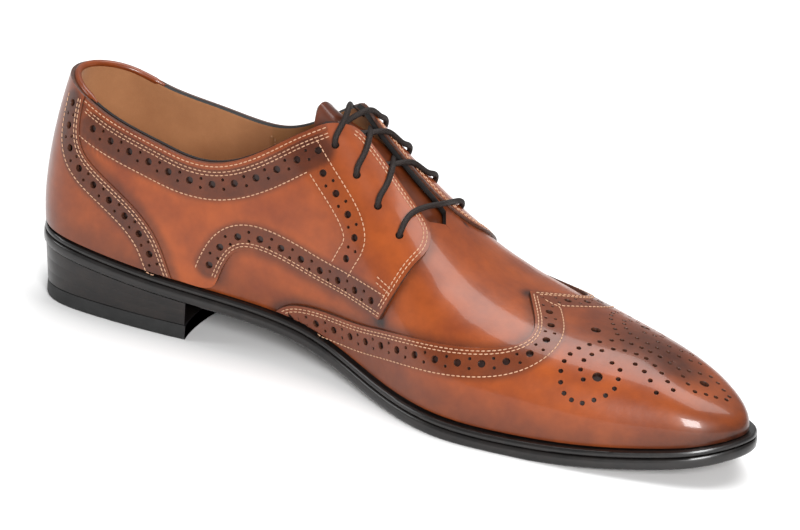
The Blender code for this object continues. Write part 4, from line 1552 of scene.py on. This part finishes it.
        name = side.name.lower()
        Panel(
            self.last, self.finishes, f"{name}_collar_strip", f"quarter_{name}", *rim_and_inside(grid), [], tone,
            out=0.00085, thick=0.0009, edge=0.0002,
        ).build()
        rows = [self.beside("collar", side, 0.0018)]
        self.sew(f"{name}_collar_stitches", rows, 0.00085)

    def sew(self, name: str, rows: Sequence[Line], out: float, slot: Slot = Slot.OVERLAY) -> None:
        """Sews a piece's rows of stitches and attaches them to the body."""
        piece = Stitching(self.last, self.finishes.thread).sew(name, rows, out)
        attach(piece, BODY)

    def build_counter(self) -> None:
        """Models the counter that wraps the heel."""
        last = self.last
        columns, rows = 120, 56
        edge = np.array(COUNTER_EDGE)
        edge[-1, 1] = last.collar_share(edge[-1:, 0])[0] - self.collar_margin
        right = resample(edge, rows)
        even = np.linspace(-1.0, 1.0, columns + 1)
        low, high = edge[0, 0] * even, edge[-1, 0] * even
        bottom = np.stack([low, np.full_like(low, edge[0, 1])], -1)
        top = np.stack([high, last.collar_share(high) - self.collar_margin], -1)
        grid = coons_patch(bottom, top, right * [-1.0, 1.0], right)
        brogueing = Brogueing(last, spacing=0.0086)
        bands = [self.beside("counter", side, 0.0056).trimmed(0.002, 0.003) for side in Side]
        holes = [hole for band in bands for hole in brogueing.band(band)]

        def tone(places: np.ndarray, points: np.ndarray) -> np.ndarray:
            """Returns the counter's tone: painted shade darker towards the welt, darker at the back of the heel, and
            burnished dark in the bands.
            """
            # Painted shade, darker towards the welt.
            value = 0.24 + 0.30 * (1.0 - smoothstep(places[:, 1], 0.02, 0.14))
            value += 0.12 * (1.0 - smoothstep(np.abs(places[:, 0]), 0.0, 0.08))
            return np.maximum(value, 0.76 * self.band_tone(bands, 0.0040, points))

        Panel(
            last, self.finishes, "counter", "heel_counter", *rim_and_inside(grid), holes, tone, out=0.00085,
            thick=0.0018,
        ).build()
        rows = [self.beside("counter", side, d).trimmed(e, 0.0) for side in Side for d, e in ((0.0012, 0.001), (0.0025, 0.001), (0.0098, 0.005))]
        self.sew("counter_stitches", rows, 0.00085)

    def build_wing_cap(self) -> None:
        """Models the winged toe cap as two halves that meet on the ridge and at the toe's centre."""
        last = self.last
        columns, rows = 130, 64
        grids = []
        holes = Brogueing(last).medallion()
        bands = []
        even = np.linspace(0.0, 1.0, columns + 1)
        share = even + 0.40 * (np.sin(even * math.pi / 2.0) - even)
        for side in Side:
            left = resample(WING_EDGE[side], rows)
            low = left[0, 0] + (1.0 - left[0, 0]) * share
            high = left[-1, 0] + (1.0 - left[-1, 0]) * share
            rise = np.linspace(left[0, 1], 1.0, rows + 1)
            grid = coons_patch(
                np.stack([low, np.full_like(low, left[0, 1])], -1),
                np.stack([high, np.ones_like(high)], -1),
                left,
                np.stack([np.ones_like(rise), rise], -1),
            )
            grid[..., 0] *= side.value
            grids.append(grid)
            bands.append(self.beside("wing", side, 0.0060).trimmed(0.004, 0.003))
            holes += Brogueing(last, spacing=0.0090).band(bands[-1])

        def tone(places: np.ndarray, points: np.ndarray) -> np.ndarray:
            """Returns the wing cap's tone: burnished dark at the toe and in the bands, and painted shade darker along
            the welt.
            """
            value = np.full(len(points), 0.04)
            # Painted shade, darker along the welt.
            value += 0.42 * (1.0 - smoothstep(places[:, 1], 0.05, 0.30))
            value += 0.42 * smoothstep(points[:, 0], 0.104, 0.150) * (1.0 - 0.4 * smoothstep(places[:, 1], 0.3, 0.9))
            value += 0.72 * smoothstep(places[:, 1], 0.60, 0.95) * smoothstep(points[:, 0], 0.055, 0.110)
            return np.maximum(value, 0.52 * self.band_tone(bands, 0.0045, points))

        medial, lateral = grids
        loop = np.concatenate([medial[0, :-1], lateral[0, :0:-1], lateral[:-1, 0], medial[:0:-1, 0]])
        inner = np.concatenate([medial[1:, 1:].reshape(-1, 2), lateral[1:-1, 1:-1].reshape(-1, 2)])
        Panel(last, self.finishes, "winged_toe_cap", "wing_cap", loop, inner, holes, tone).build()
        rows = [self.beside("wing", side, d).trimmed(e, 0.0) for side in Side for d, e in ((0.0013, 0.002), (0.0025, 0.002), (0.0108, 0.014))]
        self.sew("winged_toe_cap_stitches", rows, 0.00035)

    def build_tongue(self) -> None:
        """Models the tongue under the facings, with a rolled top."""
        last = self.last
        line = resample(TONGUE, 60)
        spread = np.linspace(-1.0, 1.0, 41)
        side = np.where(spread < 0.0, -1.0, 1.0)
        w = line[:, :1] * side[None, :]
        t = 1.0 - np.abs(spread)[None, :] * (1.0 - line[:, 1:])
        points = last.skin(w, t, -WALL_SET - WALL - 0.0010)
        points[..., 2] -= 0.0080 * (1.0 - smoothstep(np.abs(w), 0.407, 0.490))
        piece = grid_piece("tongue_leather", points, 4e-6)
        turn_outwards(last, piece)
        apply_modifier(piece, "SOLIDIFY", thickness=0.0020, offset=-1.0, use_even_offset=True)
        apply_modifier(piece, "BEVEL", width=0.0005, segments=2, limit_method="ANGLE", angle_limit=math.radians(55.0))

        def tone(places: np.ndarray, points: np.ndarray) -> np.ndarray:
            """Returns the tongue's burnish."""
            return np.full(len(points), 0.66)

        dress_leather(last, piece, -0.0038, tone, self.finishes, (self.finishes.lining,))
        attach(piece, BODY)
        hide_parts("tongue")

    def build_piping(self) -> None:
        """Models the rolled leather at the top of the heel."""
        last = self.last
        w = np.linspace(-0.104, 0.130, 90)
        top = last.collar_share(w)
        centre = last.skin(w, top, -WALL_SET - 0.5 * WALL)
        taper = np.clip(np.minimum(np.arange(90), np.arange(90)[::-1]) / 5.0, 0.25, 1.0)
        piece = tube("heel_piping", centre, 0.00135 * np.sqrt(taper), 14)
        set_attribute(piece, "burnish", np.full(len(piece.data.vertices), 0.30))
        piece.data.materials.append(self.finishes.calf)
        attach(piece, BODY)

    def build_lining_seams(self) -> None:
        """Models the seam where the heel's lining laps over the smooth one, with its stitches."""
        last = self.last
        for side in Side:
            top = float(last.collar_share(np.array([side.value * 0.285]))[0]) - 0.03
            rows = ((0.289, 0.10), (0.286, 0.5 * top), (0.285, top))
            line = Line.through(last, rows, side)
            name = side.name.lower()
            lap = tube(f"{name}_lining_lap", line.even(60).points(-WALL_SET - WALL), 0.0007, 8)
            lap.data.materials.append(self.finishes.lining)
            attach(lap, BODY)
            row = Line(last, line.places + [side.value * 0.0045, 0.0])
            self.sew(f"{name}_lining_stitches", [row], -WALL_SET - WALL - 0.0001, Slot.LINING)

    def build(self) -> None:
        """Builds every piece of the upper."""
        self.build_wall()
        self.build_lining_seams()
        self.build_tongue()
        for side in Side:
            self.build_quarter(side)
        self.build_counter()
        self.build_wing_cap()
        self.build_piping()


def tube(name: str, centre: np.ndarray, radius: float | np.ndarray, sides: int,
         press: np.ndarray | None = None, normals: np.ndarray | None = None) -> bpy.types.Object:
    """Models a tube with rounded ends along a line.

    Args:
        name: the piece's name.
        centre: the points of its middle line.
        radius: its radius, or one per point.
        sides: how many sides it has.
        press: how flat it is pressed at each point, from 1 for round.
        normals: the direction that it is pressed along, one per point.

    Returns:
        The tube, with a UV map of its girth and its length in metres.
    """
    along = unit(np.gradient(centre, axis=0))
    frame = unit(np.cross(along[0], [0.0, 0.1, 1.0]))
    across = [frame]
    for i in range(1, len(centre)):
        frame = frame - along[i] * (frame @ along[i])
        frame = frame / np.linalg.norm(frame)
        across.append(frame)
    across = np.array(across)
    second = np.cross(along, across)
    turn = np.linspace(0.0, 2.0 * math.pi, sides + 1)
    radius = np.broadcast_to(np.asarray(radius, float), (len(centre),))
    ring = across[:, None] * np.cos(turn)[None, :, None] + second[:, None] * np.sin(turn)[None, :, None]
    ring = ring * radius[:, None, None]
    if press is not None:
        depth = (ring * normals[:, None]).sum(-1, keepdims=True)
        ring = ring - normals[:, None] * depth * (1.0 - press)[:, None, None]
    points = centre[:, None] + ring
    caps = []
    for end, way in ((0, -1.0), (-1, 1.0)):
        cap = []
        for share in (0.5, 0.866, 1.0):
            shrink = math.sqrt(max(1.0 - share**2, 0.0))
            cap.append(centre[end] + way * along[end] * radius[end] * share + ring[end] * shrink)
        caps.append(np.array(cap))
    points = np.concatenate([caps[0][::-1], points, caps[1]])
    piece = grid_piece(name, points, 1e-7)
    with editing(piece):
        bpy.ops.mesh.normals_make_consistent(inside=False)
    scale = np.array([2.0 * math.pi * float(radius.max()), float(np.linalg.norm(np.diff(centre, axis=0), axis=1).sum())])
    layer = piece.data.uv_layers[0]
    values = np.empty(len(layer.data) * 2)
    layer.data.foreach_get("uv", values)
    layer.data.foreach_set("uv", (values.reshape(-1, 2) * scale).ravel())
    shade(piece, 60.0)
    return piece


@dataclass
class Lacing:
    """The round lace, from eyelet to eyelet, with its ends tucked under the facings."""

    last: Last
    finishes: Finishes
    face: float = 0.00035

    def spot(self, side: Side, a: float, t: float, out: float, press: float = 1.0) -> tuple:
        """Returns a point of the lace's path, with its normal and how flat it is pressed."""
        point = self.last.skin(np.array([side.value * a]), np.array([t]), out)[0]
        normal = self.last.normal(np.array([side.value * a]), np.array([t]))[0]
        return point, normal, press

    def strand(self, side: Side, row: int, low: bool) -> list[tuple]:
        """Returns a strand's path: up through an eyelet, over the facing's edge and into the gap.

        Args:
            side: the eyelet's side.
            row: the eyelet's row, from the collar down.
            low: whether the strand passes under the other one.

        Returns:
            The path's points.
        """
        a, t = EYELETS[side][row]
        other = Side(-side.value)
        next_a, next_t = EYELETS[other][max(row - 1, 0)]
        if row == 0:
            next_a, next_t = a - 0.012, t
        on = self.face + LACE_RADIUS
        dip = -0.0014 if low else 0.0002
        edge = 0.905
        middle = a + 0.35 * (next_a - a)
        return [
            self.spot(side, a, t - 0.035, -0.0034, 0.3),
            self.spot(side, a, t - 0.010, -0.0026, 0.7),
            self.spot(side, a, t, 0.0, 1.0),
            self.spot(side, a - 0.001, t + 0.020, on + 0.0004, 1.0),
            self.spot(side, a - 0.1 * (a - middle), 0.5 * (t + edge), on, 1.0),
            self.spot(side, a + 0.7 * (middle - a), edge + 0.002, on, 1.0),
            self.spot(side, middle, 0.985, dip, 1.0),
            self.spot(other, middle + 0.15 * (next_a - a), 0.955, -0.0026, 0.7),
            self.spot(other, middle + 0.30 * (next_a - a), 0.90, -0.0034, 0.3),
            self.spot(other, next_a + 0.004, next_t + 0.05, -0.0034, 0.3),
        ]

    def bar(self) -> list[tuple]:
        """Returns the path of the lowest row, a straight bar that goes down into both eyelets."""
        path = []
        on = self.face + LACE_RADIUS
        for side in (Side.MEDIAL, Side.LATERAL):
            a, t = EYELETS[side][3]
            half = [
                self.spot(side, a - 0.012, t - 0.02, -0.0034, 0.3),
                self.spot(side, a - 0.002, t - 0.006, -0.0026, 0.7),
                self.spot(side, a, t, 0.0, 1.0),
                self.spot(side, a, t + 0.020, on + 0.0002, 1.0),
                self.spot(side, a, 0.5 * (t + 0.92), on, 1.0),
            ]
            path += half if side is Side.MEDIAL else [self.spot(side, a, 1.0, on + 0.0010, 1.0), *half[::-1]]
        return path

    def lay(self, name: str, path: Sequence[tuple]) -> bpy.types.Object:
        """Lays a smooth length of lace through a path's points."""
        points = np.array([spot[0] for spot in path])
        length = np.concatenate([[0.0], np.cumsum(np.linalg.norm(np.diff(points, axis=0), axis=1))])
        along = np.linspace(0.0, length[-1], max(int(length[-1] / 0.0006), 8))
        smooth = cubic_spline(length, points)(along)
        normals = unit(np.stack([np.interp(along, length, [s[1][i] for s in path]) for i in range(3)], -1))
        press = np.interp(along, length, [spot[2] for spot in path])
        piece = tube(name, smooth, LACE_RADIUS, 12, press, normals)
        piece.data.materials.append(self.finishes.lace)
        return piece

    def build(self) -> None:
        """Laces the shoe, one piece per row."""
        for row in range(4):
            name = f"lace_{row + 1}"
            if row == 3:
                piece = self.lay(name, self.bar())
            else:
                strands = [
                    self.lay(f"{name}_{side.name.lower()}", self.strand(side, row, side is Side.MEDIAL))
                    for side in Side
                ]
                piece = join(strands, name, 0.0)
            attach(piece, BODY)
            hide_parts(f"lace_row_{row + 1}")


@dataclass
class Bottom:
    """The welt, the outsole, the stacked heel with its top piece, and the insole's sock."""

    last: Last
    finishes: Finishes

    def ring(
        self, name: str, a: np.ndarray, profile: Sequence[tuple], low: Callable, high: Callable,
        plate: Callable | None = None, columns: int = 12, margin: np.ndarray | None = None,
    ) -> bpy.types.Object:
        """Models a plate whose edge follows a profile.

        Args:
            name: the piece's name.
            a: the stations from the heel to the toe.
            profile: pairs of the inset and the share of the way from the bottom to the top.
            low: the bottom's height at x.
            high: the top's height at x.
            plate: a change to the plan of each face, or None.
            columns: how many faces span each plate.
            margin: more inset at each station, or None.

        Returns:
            The closed plate.
        """
        share = np.linspace(0.0, 1.0, columns + 1)
        rows = []
        for place, more in zip(a, np.zeros(len(a)) if margin is None else margin):
            loop = []
            medial, lateral = (self.last.outline(np.array([s * place]), profile[0][0] + more)[0][0] for s in (-1, 1))
            for s in share:
                loop.append((*(medial * (1 - s) + lateral * s), 0.0))
            for inset, height in profile[1:-1]:
                loop.append((*self.last.outline(np.array([place]), inset + more)[0][0], height))
            medial, lateral = (self.last.outline(np.array([s * place]), profile[-1][0] + more)[0][0] for s in (-1, 1))
            for s in share:
                loop.append((*(lateral * (1 - s) + medial * s), 1.0))
            for inset, height in profile[-2:0:-1]:
                loop.append((*self.last.outline(np.array([-place]), inset + more)[0][0], height))
            loop.append(loop[0])
            rows.append(loop)
        points = np.array(rows)
        if plate is not None:
            points = plate(points)
        bottom, top = low(points[..., 0]), high(points[..., 0])
        points[..., 2] = bottom + (top - bottom) * points[..., 2]
        piece = grid_piece(name, points, 2e-6)
        with editing(piece):
            bpy.ops.mesh.normals_make_consistent(inside=False)
        shade(piece, 50.0)
        return piece

    def stations(self, end: float = 1.0, count: int = 130) -> np.ndarray:
        """Returns stations, closer together at both ends."""
        even = np.linspace(0.0, 1.0, count)
        return end * (0.5 - 0.5 * np.cos(math.pi * even)) if end == 1.0 else end * np.sin(even * math.pi / 2.0) ** 1.4

    def tread_height(self, x: np.ndarray) -> np.ndarray:
        """Returns the height of the outsole's bottom, with one flat spot under the ball."""
        return np.maximum(self.last.seat_height(x) - STACK_HEIGHT - TREAD_FLAT, 0.0)

    def build_outsole(self) -> None:
        """Models the outsole and the welt, each with a rounded and polished edge."""
        last = self.last
        round_edge = ((0.0016, 0.0), (0.0006, 0.03), (0.0001, 0.16), (0.0, 0.5), (0.0001, 0.84), (0.0005, 0.97), (0.0014, 1.0))
        outsole = self.ring(
            "leather_outsole", self.stations(), round_edge, self.tread_height,
            lambda x: last.seat_height(x) - WELT_THICK - GAP,
        )
        self.register(outsole, "outsole")
        for material in (self.finishes.sole, self.finishes.sole_bottom):
            outsole.data.materials.append(material)
        for face in outsole.data.polygons:
            face.material_index = 1 if face.normal.z < -0.8 else 0
        welt_edge = ((0.0014, 0.0), (0.0007, 0.06), (0.0004, 0.3), (0.0004, 0.6), (0.0008, 0.92), (0.0016, 1.0))
        welt = self.ring(
            "welt_rim", self.stations(), welt_edge,
            lambda x: last.seat_height(x) - WELT_THICK - 0.5 * GAP, last.seat_height,
        )
        self.register(welt, "welt")
        welt.data.materials.append(self.finishes.sole)

    def breast(self, points: np.ndarray, end: float, a: np.ndarray) -> np.ndarray:
        """Returns a heel plate's points with its front curved inwards."""
        width = points[..., 1].max(axis=1, keepdims=True) - points[..., 1].min(axis=1, keepdims=True)
        share = (points[..., 1] - points[..., 1].min(axis=1, keepdims=True)) / np.maximum(width, 1e-9)
        points[..., 0] -= BREAST_CURVE * ((a / end) ** 6)[:, None] * 4.0 * share * (1.0 - share)
        return points

    def build_heel(self) -> None:
        """Models the heel's stacked layers and the rubber top piece."""
        last = self.last
        rows = np.asarray(OUTLINE)
        end = float(np.interp(HEEL_LENGTH / LENGTH, rows[:, 1], rows[:, 0]))
        a = self.stations(end, 60)
        seam = TOP_PIECE_THICK + GAP
        layers = 3
        profile = [(HEEL_TUCK + HEEL_TAPER + 0.0004, 0.0)]
        for layer in range(layers):
            low, high = layer / layers, (layer + 1) / layers
            for share, groove in ((0.04, 0.0), (0.5, 0.0), (0.96, 0.0), (1.0, 0.00005)):
                height = low + (high - low) * share
                profile.append((HEEL_TUCK + HEEL_TAPER * (1.0 - height) + groove, height))
        piece = self.ring(
            "stacked_heel_block", a, profile, lambda x: np.full_like(x, seam),
            lambda x: self.tread_height(x) - GAP, lambda points: self.breast(points, end, a),
        )
        self.register(piece, "heel_stack")
        piece.data.materials.append(self.finishes.heel)
        inset = HEEL_TUCK + HEEL_TAPER
        profile = ((inset + 0.0010, 0.0), (inset + 0.0003, 0.06), (inset, 0.2), (inset, 0.85), (inset + 0.0002, 1.0))
        piece = self.ring(
            "rubber_top_piece", a, profile, np.zeros_like, lambda x: np.full_like(x, TOP_PIECE_THICK),
            lambda points: self.breast(points, end, a),
        )
        self.register(piece, "heel_top_piece")
        piece.data.materials.append(self.finishes.rubber)

    def build_sock(self) -> None:
        """Models the insole with its leather sock, turned up a little at the wall."""
        last = self.last
        edge = WALL_SET + WALL + 0.0006
        profile = ((edge + 0.002, 0.0), (edge, 0.3), (edge - 0.0002, 0.9), (edge + 0.0008, 1.0))
        a = np.linspace(0.012, 0.988, 120)
        piece = self.ring(
            "sock", a, profile, lambda x: last.seat_height(x) + GAP, lambda x: last.seat_height(x) + GAP + INSOLE_THICK,
            margin=last.section_at(a)[:, 0] * WELT_WIDTH,
        )
        self.register(piece, "insole")
        piece.data.materials.append(self.finishes.sock)

    def register(self, piece: bpy.types.Object, node: str) -> None:
        """Attaches a piece to the body and hides the node that it stands for."""
        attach(piece, BODY)
        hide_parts(node)

    def build(self) -> None:
        """Builds every piece of the bottom."""
        self.build_outsole()
        self.build_heel()
        self.build_sock()


@dataclass(frozen=True)
class Studio:
    """The floor, the lights and the camera."""

    finishes: Finishes
    eye: tuple[float, float, float] = (0.51026, -1.13406, 0.52113)
    heading: float = 118.112
    pitch: float = -20.170
    roll: float = 4.146
    lens: float = 157.0
    aside: float = 0.0605
    down: float = 0.0210

    def build_floor(self) -> None:
        """Lays the plain floor."""
        bpy.ops.object.select_all(action="DESELECT")
        bpy.ops.mesh.primitive_plane_add(size=12.0, location=(0.0, 0.0, 0.0))
        floor = bpy.context.object
        floor.name = "studio_floor"
        with editing(floor):
            bpy.ops.mesh.subdivide(number_cuts=3)
        floor.data.materials.append(self.finishes.floor)

    def light(self, name: str, place: Sequence[float], aim: Sequence[float], size: tuple, power: float) -> None:
        """Hangs a softbox.

        Args:
            name: its name.
            place: where it hangs.
            aim: the point that it faces.
            size: its width and height.
            power: its power in watts.
        """
        bpy.ops.object.select_all(action="DESELECT")
        bpy.ops.object.light_add(type="AREA", location=place)
        lamp = bpy.context.object
        lamp.name = name
        lamp.data.shape = "RECTANGLE"
        lamp.data.size, lamp.data.size_y = size
        lamp.data.energy = power
        way = Vector(aim) - Vector(place)
        lamp.rotation_euler = way.to_track_quat("-Z", "Y").to_euler()

    def build_lights(self) -> None:
        """Hangs the softboxes and sets the pale surroundings."""
        self.light("top_softbox", (0.1, 0.5, 1.7), (0.0, 0.0, 0.05), (1.8, 1.2), 36.0)
        self.light("near_softbox", (0.95, -1.3, 0.70), (0.05, 0.0, 0.05), (0.50, 0.6), 34.0)
        self.light("heel_softbox", (-1.5, -0.7, 0.8), (-0.05, 0.0, 0.05), (0.6, 0.9), 9.0)
        world = bpy.data.worlds.new("studio_surroundings")
        world.use_nodes = True
        background = world.node_tree.nodes["Background"]
        background.inputs["Color"].default_value = (1.0, 1.0, 1.0, 1.0)
        background.inputs["Strength"].default_value = 0.32
        bpy.context.scene.world = world

    def build_camera(self) -> None:
        """Places the camera at the photograph's angle."""
        heading, pitch, roll = (math.radians(v) for v in (self.heading, self.pitch, self.roll))
        forward = Vector(
            (math.cos(pitch) * math.cos(heading), math.cos(pitch) * math.sin(heading), math.sin(pitch))
        )
        level = Vector((math.sin(heading), -math.cos(heading), 0.0))
        upright = level.cross(forward)
        right = level * math.cos(roll) + upright * math.sin(roll)
        upward = right.cross(forward)
        forward = (forward + right * self.aside - upward * self.down).normalized()
        right = (right - forward * right.dot(forward)).normalized()
        upward = right.cross(forward)
        bpy.ops.object.select_all(action="DESELECT")
        bpy.ops.object.camera_add()
        camera = bpy.context.object
        camera.name = "photo_camera"
        turn = Matrix((right, upward, -forward)).transposed().to_4x4()
        camera.matrix_world = Matrix.Translation(self.eye) @ turn
        camera.data.sensor_width = 36.0
        camera.data.sensor_fit = "HORIZONTAL"
        camera.data.lens = self.lens
        camera.data.clip_end = 50.0
        bpy.context.scene.camera = camera

    def build(self) -> None:
        """Sets up the whole studio."""
        self.build_floor()
        self.build_lights()
        self.build_camera()
        bpy.context.scene.view_settings.view_transform = "Standard"


def main() -> None:
    """Loads the frame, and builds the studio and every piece."""
    logging.basicConfig(level=logging.INFO, format="%(message)s")
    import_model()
    finishes = Finishes()
    Studio(finishes).build()
    last = Last()
    for part in (Upper(last, finishes), Bottom(last, finishes), Lacing(last, finishes)):
        part.build()
        logging.info("built %s", type(part).__name__)
    for piece in bpy.data.objects:
        if piece.type == "MESH" and piece.visible_get():
            logging.info("%s: %d faces", piece.name, len(piece.data.polygons))


if __name__ == "__main__":
    main()
